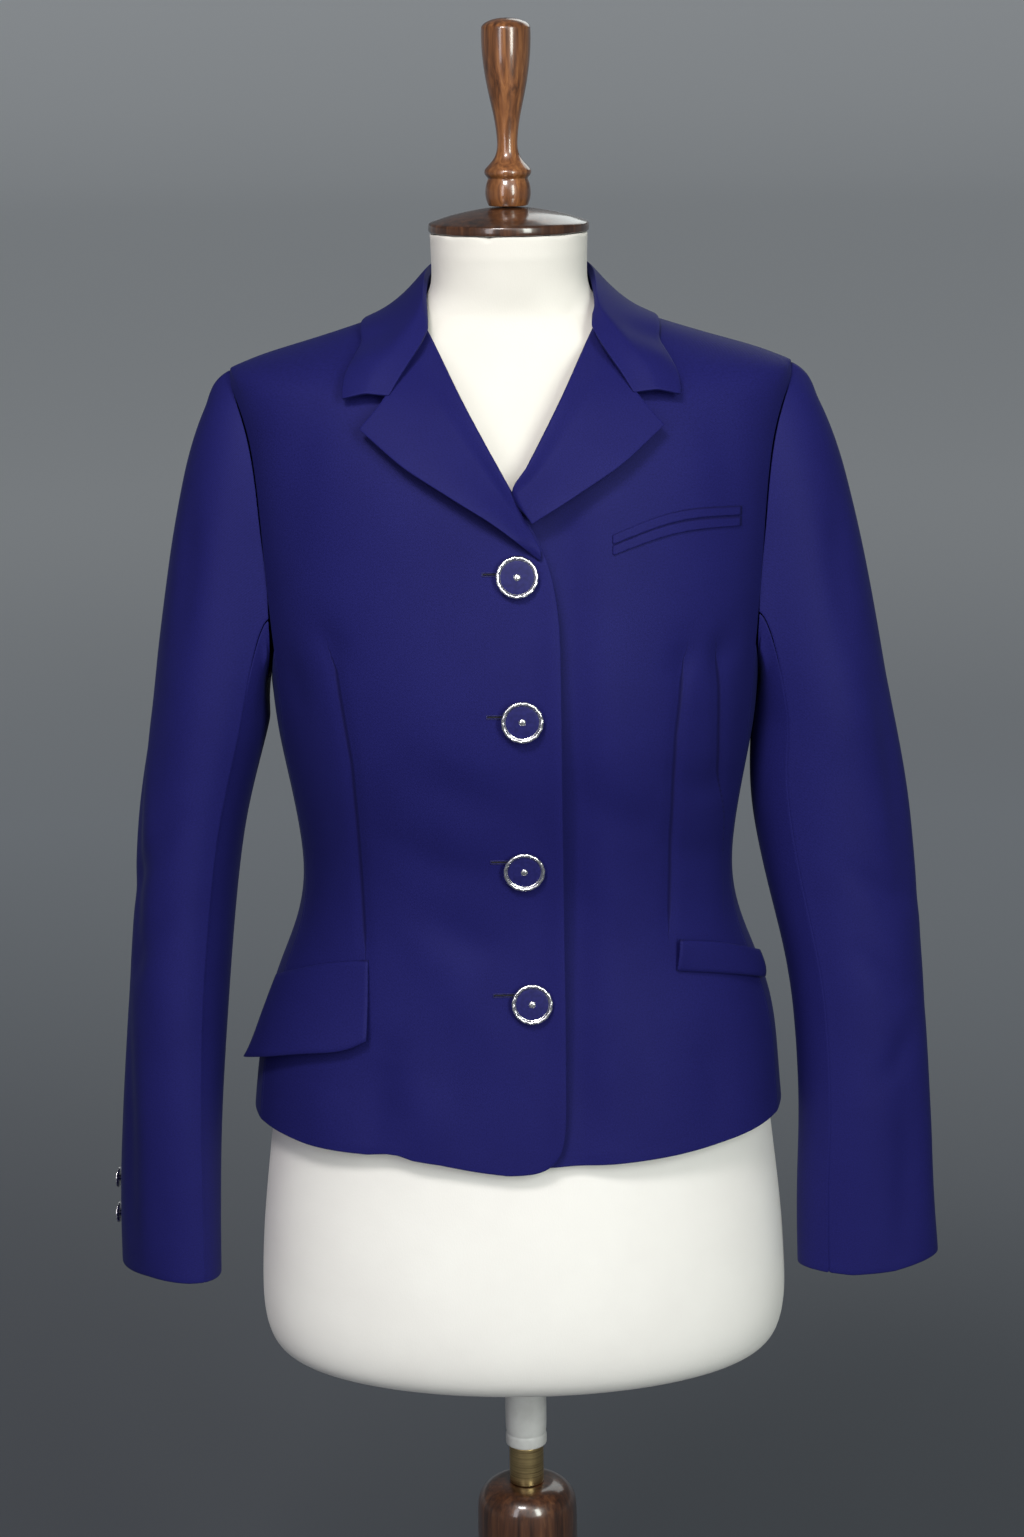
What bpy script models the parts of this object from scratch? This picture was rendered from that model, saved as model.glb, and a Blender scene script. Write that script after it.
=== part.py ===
"""A cropped double-dart blazer worn by a limbless dress form on a turned wooden stand.

Metres, +Z up. The front faces -Y and the wearer's left is at +X. The origin is the
centre of the underside of the round base. Tables are in millimetres and degrees.
"""
import math
from collections import namedtuple

import bmesh
import bpy
import numpy as np
from mathutils import Matrix, Vector

MM = 0.001
WALL = 2.0              # thickness of the cloth with its interlining
SEAM_GAP = 0.32         # space left between neighbouring pieces
LAP = 2.7               # how far the underlap lies beneath the right front
RIGHT = -1              # the wearer's right, at -X
LEFT = 1                # the wearer's left, at +X

HEM = 834.0             # height of the hem at the front
HEM_SIDE_RISE = 12.0    # the hem climbs towards the sides
HEM_FADE = 950.0        # above this height rows are level again
SHOULDER_POINT = 1363.0
UNDERARM = 1146.0       # lowest point of the armhole
ARMHOLE_START = 1180.0  # where the side seams meet the armhole

# Level sections of the jacket round the body, from hem to neck.
Section = namedtuple("Section", "z half_width front back fullness")
JACKET = [
    Section(826, 191, 119, 124, 2.20),
    Section(872, 186, 116, 119, 2.20),
    Section(916, 179, 112, 113, 2.20),
    Section(946, 169, 110, 108, 2.20),
    Section(975, 156, 108, 103, 2.20),
    Section(1004, 148, 107, 99, 2.20),
    Section(1024, 148, 109, 98, 2.20),
    Section(1047, 151, 113, 99, 2.20),
    Section(1076, 156, 121, 104, 2.20),
    Section(1118, 164, 131, 110, 2.20),
    Section(1150, 167, 133, 113, 2.20),
    Section(1190, 172, 129, 115, 2.20),
    Section(1240, 176, 121, 115, 2.20),
    Section(1290, 180, 111, 112, 2.20),
    Section(1325, 184, 98, 107, 2.20),
    Section(1345, 188, 87, 100, 2.18),
    Section(1355, 190, 79, 95, 2.15),
    Section(1363, 188, 70, 90, 2.10),
    Section(1371, 169, 61, 85, 2.05),
    Section(1379, 140, 54, 80, 2.00),
    Section(1388, 110, 48, 75, 2.00),
    Section(1397, 83, 44, 70, 2.00),
    Section(1405, 68, 42, 66, 2.00),
]

# Front edge and roll line: across is the distance past the centre, on the piece's own side.
Edge = namedtuple("Edge", "z across")
FRONT_EDGE = [
    Edge(826, -4), Edge(834, -9), Edge(838, -18), Edge(845, -25), Edge(856, -29),
    Edge(872, -30), Edge(1100, -29), Edge(1212, -29), Edge(1245, -24), Edge(1268, -13),
    Edge(1292, 0), Edge(1340, 27), Edge(1390, 54), Edge(1405, 63),
]

# Seams down the body: angle from the centre front at each height.
Seam = namedtuple("Seam", "z front back")
SIDE_SEAMS = [
    Seam(826, 73, 119), Seam(920, 75, 118), Seam(1010, 76, 116), Seam(1100, 73, 115), Seam(1180, 70, 114),
]
ARMHOLE = [
    Seam(1180, 70, 114), Seam(1240, 70, 114), Seam(1290, 70, 113), Seam(1325, 71, 110), Seam(1345, 76, 104),
    Seam(1355, 82, 98), Seam(1363, 90, 90), Seam(1405, 90, 90),
]

# Levels of the rows of points: close where the outline turns.
LEVELS = [834, 839, 847, 862, 890, 920, 950, 980, 1012, 1046, 1080, 1112, 1146, 1180, 1216, 1250, 1270, 1292,
          1317, 1340, 1354, 1363, 1371, 1379, 1388, 1397, 1403]


def read_table(table, height):
    """Read every column of a table at one height, on a smooth curve through its rows."""
    heights = [row[0] for row in table]
    height = min(max(height, heights[0]), heights[-1])
    place = min(int(np.searchsorted(heights, height, side="right")) - 1, len(table) - 2)
    low, high = table[place], table[place + 1]
    before = table[max(place - 1, 0)]
    after = table[min(place + 2, len(table) - 1)]
    span = high[0] - low[0]
    part = (height - low[0]) / span
    values = []
    for column in range(1, len(low)):
        step = (high[column] - low[column]) / span
        slopes = []
        for first, last in ((before, high), (low, after)):
            slope = (last[column] - first[column]) / (last[0] - first[0])
            slopes.append(0.0 if slope * step <= 0 else math.copysign(min(abs(slope), 3 * abs(step)), step))
        values.append(
            (2 * part**3 - 3 * part**2 + 1) * low[column]
            + (part**3 - 2 * part**2 + part) * span * slopes[0]
            + (3 * part**2 - 2 * part**3) * high[column]
            + (part**3 - part**2) * span * slopes[1]
        )
    return values


def smooth_step(value, start, end):
    part = min(max((value - start) / (end - start), 0.0), 1.0)
    return part * part * (3 - 2 * part)


def skin(angle, z):
    """A point on the jacket's outer skin, in millimetres."""
    half_width, front, back, fullness = read_table(JACKET, z)
    side, ahead = math.sin(math.radians(angle)), math.cos(math.radians(angle))
    depth = front if ahead > 0 else back
    power = 2 / fullness
    return np.array([
        half_width * math.copysign(abs(side) ** power, side),
        -depth * math.copysign(abs(ahead) ** power, ahead),
        z,
    ])


def body_point(angle, z, out=0.0):
    """A point held out from the jacket's skin, square to it."""
    along = skin(angle + 1.5, z) - skin(angle - 1.5, z)
    up = skin(angle, z + 2.0) - skin(angle, z - 2.0)
    normal = np.cross(along, up)
    return skin(angle, z) + normal / np.linalg.norm(normal) * out


def angle_across(across, z):
    """The angle at which the front skin lies this far across from the centre."""
    half_width, _, _, fullness = read_table(JACKET, z)
    share = min(abs(across) / half_width, 1.0)
    return math.copysign(math.degrees(math.asin(share ** (fullness / 2))), across)


def front_point(across, z, side, out=0.0):
    return body_point(side * angle_across(across, z), z, out)


def hem_lift(angle, z):
    share = 1 - smooth_step(z, HEM, HEM_FADE)
    return HEM_SIDE_RISE * math.sin(math.radians(angle)) ** 2 * share


def side_angles(z):
    """Angles of the side-front and side-back seams, which run on into the armhole."""
    return read_table(SIDE_SEAMS, z) if z < ARMHOLE_START else read_table(ARMHOLE, z)


def gap_angle(angle, z):
    """Half a seam's gap, as an angle."""
    reach = np.linalg.norm(skin(angle + 0.5, z) - skin(angle - 0.5, z))
    return SEAM_GAP / 2 / reach


def underarm_height(angle):
    """Top of the side panel between its two seams: a shallow cup under the arm."""
    front, back = side_angles(ARMHOLE_START)
    share = abs(angle - (front + back) / 2) / ((back - front) / 2)
    return UNDERARM + (ARMHOLE_START - UNDERARM) * min(share, 1.0) ** 2.2


# Solids from grids of points

def new_object(name, mesh_maker, colour, roughness, metallic=0.0, smooth=True):
    """Make one named object with its own material from a filled bmesh, in millimetres."""
    shape = bmesh.new()
    mesh_maker(shape)
    bmesh.ops.scale(shape, vec=(MM, MM, MM), verts=shape.verts)
    bmesh.ops.recalc_face_normals(shape, faces=shape.faces)
    mesh = bpy.data.meshes.new(name)
    shape.to_mesh(mesh)
    shape.free()
    if smooth:
        mesh.shade_smooth()
        mesh.set_sharp_from_angle(angle=math.radians(50))
    material = bpy.data.materials.new(name)
    material.use_nodes = True
    surface = material.node_tree.nodes["Principled BSDF"]
    surface.inputs["Base Color"].default_value = (*colour, 1.0)
    surface.inputs["Roughness"].default_value = roughness
    surface.inputs["Metallic"].default_value = metallic
    mesh.materials.append(material)
    piece = bpy.data.objects.new(name, mesh)
    bpy.context.collection.objects.link(piece)
    return piece


def grid_normals(grid):
    """Unit normals of a grid of points, rows first, from its neighbours' differences."""
    across = np.gradient(grid, axis=1)
    down = np.gradient(grid, axis=0)
    normals = np.cross(across, down)
    return normals / np.linalg.norm(normals, axis=2, keepdims=True)


def cloth(name, outer, inner, colour, roughness=0.75):
    """A closed wall of cloth between two grids of the same size."""
    outer, inner = np.asarray(outer), np.asarray(inner)
    rows, columns = outer.shape[:2]

    def fill(shape):
        skins = [[[shape.verts.new(point) for point in row] for row in grid] for grid in (outer, inner)]
        for skin_points in skins:
            for i in range(rows - 1):
                for j in range(columns - 1):
                    shape.faces.new((skin_points[i][j], skin_points[i][j + 1],
                                     skin_points[i + 1][j + 1], skin_points[i + 1][j]))
        rim = [(0, j) for j in range(columns)] + [(i, columns - 1) for i in range(1, rows)]
        rim += [(rows - 1, j) for j in range(columns - 2, -1, -1)] + [(i, 0) for i in range(rows - 2, 0, -1)]
        for here, following in zip(rim, rim[1:] + rim[:1]):
            shape.faces.new((skins[0][here[0]][here[1]], skins[0][following[0]][following[1]],
                             skins[1][following[0]][following[1]], skins[1][here[0]][here[1]]))

    return new_object(name, fill, colour, roughness)


def spun(name, profile, colour, roughness, metallic=0.0, steps=24, place=Matrix()):
    """A turned piece: its profile of (radius, height) runs from the axis round to the axis."""
    def fill(shape):
        points = [shape.verts.new((radius, 0, height)) for radius, height in profile]
        edges = [shape.edges.new(pair) for pair in zip(points, points[1:])]
        bmesh.ops.spin(shape, geom=points + edges, cent=(0, 0, 0), axis=(0, 0, 1),
                       angle=math.tau, steps=steps, use_merge=True)
        bmesh.ops.remove_doubles(shape, verts=shape.verts, dist=0.01)
        bmesh.ops.transform(shape, matrix=place, verts=shape.verts)

    return new_object(name, fill, colour, roughness, metallic)


# Body of the jacket

BLUE = (0.018, 0.019, 0.115)
FRONT_COLUMNS = 12
BACK_COLUMNS = 10
SIDE_COLUMNS = 4


def panel(name, side, levels, angles, columns, drop=None):
    """A panel of the body. angles(z) gives its two edges, drop(across, z) sinks it beneath a lap."""
    outer, inner = [], []
    for level in levels:
        start, end = angles(level)
        outer_row, inner_row = [], []
        for column in range(columns + 1):
            angle = start + (end - start) * column / columns
            z = level + hem_lift(angle, level)
            sunk = drop(abs(skin(angle, z)[0]) * math.copysign(1, angle), z) if drop else 0.0
            outer_row.append(body_point(side * angle, z, -sunk))
            inner_row.append(body_point(side * angle, z, -sunk - WALL))
        outer.append(outer_row)
        inner.append(inner_row)
    return cloth(name, outer, inner, BLUE)


def front_angles(z):
    start = angle_across(read_table(FRONT_EDGE, z)[0], z)
    end = side_angles(z)[0]
    return start, end - gap_angle(end, z)


def back_angles(z):
    start = side_angles(z)[1]
    return start + gap_angle(start, z), 180 - gap_angle(180, z)


def underlap(across, z):
    """How far the left front is sunk, so that the right front lies over it."""
    return LAP * (1 - smooth_step(across, 34, 52)) * (1 - smooth_step(z, 1292, 1335))


def side_panel(name, side):
    """The panel under the arm, whose top edge is the bottom of the armhole."""
    levels = [level for level in LEVELS if level <= ARMHOLE_START]
    last_level_row = levels[-3]
    outer, inner = [], []
    for level in levels:
        front, back = side_angles(level)
        front, back = front + gap_angle(front, level), back - gap_angle(back, level)
        rise = max((level - last_level_row) / (ARMHOLE_START - last_level_row), 0)
        outer_row, inner_row = [], []
        for column in range(SIDE_COLUMNS + 1):
            angle = front + (back - front) * column / SIDE_COLUMNS
            top = underarm_height(angle)
            z = min(level, last_level_row) + (top - last_level_row) * rise + hem_lift(angle, level)
            outer_row.append(body_point(side * angle, z))
            inner_row.append(body_point(side * angle, z, -WALL))
        outer.append(outer_row)
        inner.append(inner_row)
    return cloth(name, outer, inner, BLUE)


# Lapels and collar

LapelRow = namedtuple("LapelRow", "down roll_across roll_z edge_across edge_z")
LAPEL = [
    LapelRow(0.00, 54, 1388, 98, 1330), LapelRow(0.12, 46, 1374, 85, 1319),
    LapelRow(0.28, 37, 1357, 69, 1306), LapelRow(0.44, 27, 1339, 51, 1295),
    LapelRow(0.60, 17, 1321, 33, 1284), LapelRow(0.74, 8, 1305, 18, 1275),
    LapelRow(0.84, 1, 1292, 9, 1269), LapelRow(0.92, -7, 1277, -3, 1260), LapelRow(1, -18, 1257, -17, 1249),
]
LAPEL_COLUMNS = 6
GORGE_DIP = 4.5         # the notch sits this far below a straight line to the peak
LAPEL_INSET = 0.6       # the roll starts this far outside the front's edge
LAPEL_SEAT = 0.5        # space between the front and the lapel's edge
LAPEL_RISE = 2.6        # how far the middle of the lapel bows off the front


def lapel(name, side, end, rows):
    """The front turned back along its roll line, lying on the front panel."""
    outer, inner = [], []
    for row in range(rows + 1):
        down = end * row / rows
        roll_across, roll_z, edge_across, edge_z = read_table(LAPEL, down)
        outer_row, inner_row = [], []
        for column in range(LAPEL_COLUMNS + 1):
            share = column / LAPEL_COLUMNS
            start = roll_across + LAPEL_INSET
            across = start + (edge_across - start) * share
            dip = GORGE_DIP * math.sin(math.pi * share) * max(1 - down / 0.1, 0)
            z = roll_z + (edge_z - roll_z) * share - dip
            lift = WALL + LAPEL_SEAT + LAPEL_RISE * math.sin(math.pi * min(share * 0.8 + 0.2, 1.0))
            outer_row.append(front_point(across, z, side, lift))
            inner_row.append(front_point(across, z, side, lift - WALL))
        outer.append(outer_row)
        inner.append(inner_row)
    return cloth(name, outer, inner, BLUE)


# Half of the collar, from its front end to the centre back: the seam at the neck,
# the top of the roll, and the outer edge. stand is 1 where the collar stands up.
COLLAR_COLUMNS = "place seam_x seam_y seam_z roll_x roll_y roll_z edge_angle edge_z stand"
CollarRow = namedtuple("CollarRow", COLLAR_COLUMNS)
COLLAR = [
    CollarRow(0.00, 79, -86, 1353, 92, -83, 1354, 33.5, 1348, 0.0),
    CollarRow(0.12, 68, -76, 1371, 86, -72, 1370, 34.5, 1364, 0.0),
    CollarRow(0.25, 53, -56, 1390, 64, -52, 1395, 39.0, 1378, 0.1),
    CollarRow(0.38, 54, -36, 1400, 57, -32, 1408, 60.0, 1388, 0.5),
    CollarRow(0.52, 62, 0, 1405, 57.5, 0, 1420, 92.0, 1393, 1.0),
    CollarRow(0.68, 55, 42, 1406, 53, 40, 1428, 130.0, 1391, 1.0),
    CollarRow(0.84, 32, 61, 1406, 31, 64, 1433, 155.0, 1389, 1.0),
    CollarRow(1.00, 0, 67.5, 1406, 0, 71, 1434, 180.0, 1388, 1.0),
]
COLLAR_STATIONS = 11
ROLL_RADIUS = 3.4
COLLAR_SEAT = 0.9       # space between the jacket and the collar's outer edge
FALL_SAG = 2.5          # the fall hangs this much below a straight line to its edge


def collar_section(place):
    """One section across the collar, from the neck seam over the roll to the outer edge."""
    values = read_table(COLLAR, place)
    seam, roll = np.array(values[0:3]), np.array(values[3:6])
    edge_angle, edge_z, stand = values[6:]
    edge = body_point(edge_angle, edge_z, WALL + COLLAR_SEAT)
    outward = edge - roll
    outward[2] = 0
    outward /= np.linalg.norm(outward)
    inner_turn = roll - outward * ROLL_RADIUS * stand - np.array([0, 0, ROLL_RADIUS * stand])
    inner_turn = inner_turn * stand + (seam * 0.55 + roll * 0.45) * (1 - stand)
    outer_turn = roll + outward * ROLL_RADIUS - np.array([0, 0, ROLL_RADIUS * 0.8 * stand])
    middle = outer_turn * 0.5 + edge * 0.5 - np.array([0, 0, FALL_SAG * stand])
    return [seam, inner_turn, roll, outer_turn, middle, edge]


def collar(name):
    halves = [collar_section(step / COLLAR_STATIONS) for step in range(COLLAR_STATIONS + 1)]
    mirrored = [[point * np.array([-1, 1, 1]) for point in section] for section in halves[:-1]]
    sections = np.array(mirrored + halves[::-1])
    return cloth(name, sections, sections + grid_normals(sections) * WALL, BLUE)


# Sleeves: two pieces each, lofted from the armhole to the cuff

SleeveRow = namedtuple("SleeveRow", "z across forward long short turn")
SLEEVE_AXES = {
    RIGHT: [SleeveRow(715, 250, 22, 51, 30, -57), SleeveRow(780, 249, 19, 51.5, 31, -58),
            SleeveRow(850, 245, 14, 52, 34, -70), SleeveRow(931, 237, 8, 54, 36.5, -84),
            SleeveRow(1000, 229, 3, 56, 38, -85), SleeveRow(1060, 222.5, 1, 58, 40, -84),
            SleeveRow(1120, 210, 0, 60, 42.5, -85)],
    LEFT: [SleeveRow(715, 248, 22, 52, 30, -10), SleeveRow(780, 245, 19, 50, 33, -12),
           SleeveRow(850, 244, 14, 47, 38, -15), SleeveRow(931, 239, 8, 47.5, 42, -15),
           SleeveRow(1000, 229, 3, 52, 45, -15), SleeveRow(1060, 220, 1, 52.5, 48, -15),
           SleeveRow(1120, 213, 0, 53, 46.5, -90)],
}
SLEEVE_TOP = 1120.0
CUFF = {RIGHT: 729.0, LEFT: 725.0}
CUFF_SLANT = 4.0        # the cuff is lower at the back than at the front
CAP_STEPS = [0, 0.07, 0.17, 0.30, 0.46, 0.64, 0.82, 1]
TUBE_STEPS = 12
FRONT_SEAM = 0.34       # share of the way round, from the outside through the front
BACK_SEAM = 0.70
SEAM_PART = 0.0012      # half a sleeve seam's gap, as a share of the way round
RIM_FADE = (1150, 1230) # the sleeve stands off the underarm below this stretch
RIM_RISE, RIM_OUT = 0.6, 1.6
RIM_ACROSS = 0.35       # space between the armhole's edge and the sleeve
CAP_START, CAP_FULLNESS = 9, 104
CAP_PITCH = 0.22        # slope of the sleeve head where it leaves the shoulder
TOP_COLUMNS = 13
UNDER_COLUMNS = 8


def armhole_loop(count=240):
    """Points round the left armhole, from the shoulder down the front and up the back."""
    def rim(angle, z):
        low = 1 - smooth_step(z, *RIM_FADE)
        return body_point(angle, z + RIM_RISE * low, RIM_OUT * low)

    front, back = [], []
    for height in [level for level in LEVELS[::-1] if ARMHOLE_START <= level <= SHOULDER_POINT]:
        front_angle, back_angle = read_table(ARMHOLE, height)
        shift = 2 * gap_angle(80, height)
        front.append(rim(min(front_angle + shift, 90), height))
        back.append(rim(max(back_angle - shift, 90), height))
    first, last = side_angles(ARMHOLE_START)
    bottom = [rim(first + (last - first) * column / SIDE_COLUMNS,
                  underarm_height(first + (last - first) * column / SIDE_COLUMNS))
              for column in range(1, SIDE_COLUMNS)]
    points = np.array(front + bottom + back[::-1])
    points[:, 0] += RIM_ACROSS
    lengths = np.concatenate([[0], np.cumsum(np.linalg.norm(np.diff(points, axis=0), axis=1))])
    wanted = np.linspace(0, lengths[-1], count + 1)
    return np.stack([np.interp(wanted, lengths, points[:, axis]) for axis in range(3)], axis=1)


LOOP = armhole_loop()


def loop_point(share):
    place = (share % 1.0) * (len(LOOP) - 1)
    low = min(int(place), len(LOOP) - 2)
    return LOOP[low] + (LOOP[low + 1] - LOOP[low]) * (place - low)


def tube_point(side, share, z, slant=0.0):
    """A point on the sleeve below the arm, in the frame of the wearer's left."""
    across, forward, long_half, short_half, turn = read_table(SLEEVE_AXES[side], z)
    turn = math.radians(turn)
    phase = math.tau * share - turn
    long_part, short_part = long_half * math.cos(phase), short_half * math.sin(phase)
    outward = long_part * math.cos(turn) - short_part * math.sin(turn)
    ahead = long_part * math.sin(turn) + short_part * math.cos(turn)
    return np.array([across + outward, -(forward + ahead), z + slant * ahead / long_half])


def cap_point(side, share, step):
    """A point on the sleeve head: a smooth run from the armhole out and down to the tube."""
    start, end = loop_point(share), tube_point(side, share, SLEEVE_TOP)
    height = (1 + math.cos(math.tau * share)) / 2
    ahead = math.sin(math.tau * share)
    leave = np.array([1.0, -CAP_PITCH * ahead, -CAP_PITCH]) * (CAP_START + CAP_FULLNESS * height ** 1.3)
    arrive = np.array([0.18, 0.0, -1.0]) * (start[2] - end[2]) * 0.78
    a, b = 2 * step**3 - 3 * step**2 + 1, step**3 - 2 * step**2 + step
    c, d = 3 * step**2 - 2 * step**3, step**3 - step**2
    return a * start + b * leave + c * end + d * arrive


def sleeve_rows(side, first, last, columns):
    shares = [first + (last - first) * column / columns for column in range(columns + 1)]
    rows = [[cap_point(side, share, step) for share in shares] for step in CAP_STEPS]
    for step in range(1, TUBE_STEPS + 1):
        z = SLEEVE_TOP + (CUFF[side] - SLEEVE_TOP) * step / TUBE_STEPS
        slant = CUFF_SLANT * (step / TUBE_STEPS) ** 3
        rows.append([tube_point(side, share, z, slant) for share in shares])
    return np.array(rows)


def sleeve(side, word):
    """The top and under sleeve, parted at the front and back seams."""
    pieces = []
    for name, first, last, columns in (
            ("sleeve_top_", BACK_SEAM - 1 + SEAM_PART, FRONT_SEAM - SEAM_PART, TOP_COLUMNS),
            ("sleeve_under_", FRONT_SEAM + SEAM_PART, BACK_SEAM - SEAM_PART, UNDER_COLUMNS)):
        outer = sleeve_rows(side, first, last, columns)
        margin = (last - first) / columns
        wide = sleeve_rows(side, first - margin, last + margin, columns + 2)
        normals = grid_normals(wide)[:, 1:-1]
        inner = outer - normals * WALL
        mirror = np.array([side, 1, 1])
        pieces.append(cloth(name + word, outer * mirror, inner * mirror, BLUE))
    return pieces


# Pockets

# Height of a pocket piece's two long edges, at each share of its length from the front.
Patch = namedtuple("Patch", "share top bottom")
HIP_FLAP = [Patch(0, 974, 914), Patch(0.35, 967, 907), Patch(0.7, 956, 896), Patch(1, 945, 886)]
HIP_WELT = [Patch(0, 985, 963), Patch(0.35, 978, 956), Patch(0.7, 968, 947), Patch(1, 958, 938)]
JET_UPPER = [Patch(0, 1264, 1258), Patch(0.35, 1272.5, 1266), Patch(0.65, 1275, 1268.8),
             Patch(1, 1275, 1269)]
JET_LOWER = [Patch(0, 1257.2, 1251), Patch(0.35, 1265.2, 1258.5), Patch(0.65, 1268, 1261.2),
             Patch(1, 1268.2, 1262)]
# Distance across at the front end, and angle at the far end.
FLAP_ENDS = (101.0, 79.0)
WELT_ENDS = (105.0, 79.0)
JET_ENDS = (64.0, 56.0)
POCKET_SEAT, JET_SEAT = 0.9, 0.4
WELT_THICKNESS, JET_THICKNESS = 1.6, 1.2
FLAP_FLARE = 7.0        # the flap's lower edge stands this far off the hip
FLAP_CORNER = 7.0


def patch(name, side, table, ends, columns, rows, out, thickness, flare=0.0, corner=0.0):
    """A piece lying on the front: flare lifts its lower edge, corner rounds its front corner."""
    front_across, end_angle = ends
    outer, inner = [], []
    for row in range(rows + 1):
        share = row / rows
        outer_row, inner_row = [], []
        for column in range(columns + 1):
            along = column / columns
            top, bottom = read_table(table, along)
            rounded = corner * max(1 - along * 5, 0) ** 2
            z = top + (bottom + rounded - top) * share
            first = angle_across(front_across, z)
            angle = first + (end_angle - first) * along
            lift = out + flare * share ** 2 * (0.35 + 0.65 * along)
            outer_row.append(body_point(side * angle, z, lift + thickness))
            inner_row.append(body_point(side * angle, z, lift))
        outer.append(outer_row)
        inner.append(inner_row)
    return cloth(name, outer, inner, BLUE)


# Buttons: a raised rim round a dished face with a plain stud in the middle

SILVER = (0.60, 0.59, 0.60)
ButtonPlace = namedtuple("ButtonPlace", "number across z")
FRONT_BUTTONS = [ButtonPlace(1, 2, 1239), ButtonPlace(2, 4, 1147), ButtonPlace(3, 4, 1042),
                 ButtonPlace(4, 8, 949)]
FRONT_BUTTON_RADIUS = 14.0
CUFF_BUTTON_RADIUS = 7.5
BUTTON_SHANK = 1.6      # length of the shank that the button stands on
CUFF_BUTTONS = [ButtonPlace(1, 0, 759), ButtonPlace(2, 0, 785)]
CUFF_BUTTON_SHARE = {RIGHT: -0.075, LEFT: -0.14}      # how far round to the back
BUTTON_CLEARANCE, CUFF_BUTTON_CLEARANCE = 0.35, 0.05


def button_profile(radius):
    """Radius and height, from the middle of the back round to the middle of the face."""
    rim, face = BUTTON_SHANK + radius * 0.24, BUTTON_SHANK + radius * 0.13
    return [(0, 0), (radius * 0.22, 0), (radius * 0.24, BUTTON_SHANK), (radius * 0.80, BUTTON_SHANK),
            (radius, face), (radius * 0.97, rim), (radius * 0.84, rim + radius * 0.04),
            (radius * 0.72, face), (radius * 0.25, face), (radius * 0.18, rim), (0, rim + radius * 0.02)]


def button(name, point, normal, radius, steps, clearance):
    """A button seated square to the cloth, a hair clear of it."""
    seat = point + normal * clearance
    turn = Vector(normal).to_track_quat("Z", "Y").to_matrix().to_4x4()
    place = Matrix.Translation(Vector(seat)) @ turn
    return spun(name, button_profile(radius), SILVER, 0.3, 1.0, steps, place)


def front_buttons():
    for spot in FRONT_BUTTONS:
        on_cloth = front_point(-spot.across, spot.z, RIGHT)
        above = front_point(-spot.across, spot.z, RIGHT, 1.0)
        button(f"button_{spot.number}", on_cloth, above - on_cloth, FRONT_BUTTON_RADIUS, 16,
               BUTTON_CLEARANCE)


def cuff_buttons(side, word):
    mirror = np.array([side, 1, 1])
    for spot in CUFF_BUTTONS:
        middle = tube_point(side, CUFF_BUTTON_SHARE[side], spot.z)
        forward = tube_point(side, CUFF_BUTTON_SHARE[side] + 0.01, spot.z)
        above = tube_point(side, CUFF_BUTTON_SHARE[side], spot.z + 4)
        normal = np.cross(above - middle, forward - middle)
        normal = normal / np.linalg.norm(normal)
        name = f"cuff_button_{word}_{spot.number}"
        button(name, middle * mirror, normal * mirror, CUFF_BUTTON_RADIUS, 12, CUFF_BUTTON_CLEARANCE)


# Dress form, whose shoulders follow the inside of the jacket

Hip = namedtuple("Hip", "z half_width front back")
FORM_HIPS = [Hip(655, 154, 84, 88), Hip(658, 170, 97, 101), Hip(668, 183, 109, 113), Hip(690, 189, 115, 119),
             Hip(720, 189, 116, 120), Hip(765, 186, 114, 118), Hip(812, 180, 109, 113)]
Clearance = namedtuple("Clearance", "z inset")
FORM_INSIDE = [Clearance(862, 13), Clearance(930, 20), Clearance(1000, 25), Clearance(1055, 22),
               Clearance(1105, 18), Clearance(1150, 15), Clearance(1200, 15), Clearance(1260, 15),
               Clearance(1310, 17), Clearance(1343, 17), Clearance(1363, 14), Clearance(1375, 7),
               Clearance(1386, 2.9), Clearance(1394, 3.4), Clearance(1402, 8)]
NECK = [Hip(1409, 55, 45, 61), Hip(1419, 52.2, 45, 61), Hip(1430, 52.4, 45, 61), Hip(1449.7, 53, 45, 61)]
NECK_CENTRE = 8.0
FORM_COLUMNS = 24

IVORY = (0.78, 0.74, 0.70)
WOOD, VARNISHED = (0.085, 0.025, 0.010), 0.25
PLASTIC = (0.72, 0.72, 0.70)
STEEL = (0.35, 0.33, 0.30)


def own_section(row):
    """A level ring of the form that follows no cloth."""
    points = []
    for column in range(FORM_COLUMNS):
        angle = math.tau * column / FORM_COLUMNS
        side, ahead = math.sin(angle), math.cos(angle)
        depth = row.front if ahead > 0 else row.back
        points.append((row.half_width * side, -depth * ahead, row.z))
    return points


def torso():
    """A smooth closed loft from the hips to the neck."""
    rings = [own_section(row) for row in FORM_HIPS]
    for row in FORM_INSIDE:
        rings.append([body_point(360 * column / FORM_COLUMNS, row.z, -row.inset)
                      for column in range(FORM_COLUMNS)])
    rings += [own_section(row) for row in NECK]

    def fill(shape):
        loops = [[shape.verts.new(point) for point in ring] for ring in rings]
        for low, high in zip(loops, loops[1:]):
            for column in range(FORM_COLUMNS):
                following = (column + 1) % FORM_COLUMNS
                shape.faces.new((low[column], low[following], high[following], high[column]))
        shape.faces.new(loops[0][::-1])
        shape.faces.new(loops[-1])

    return new_object("torso_form", fill, IVORY, 0.8)


# Turned pieces of the stand, as profiles of radius and height

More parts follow.
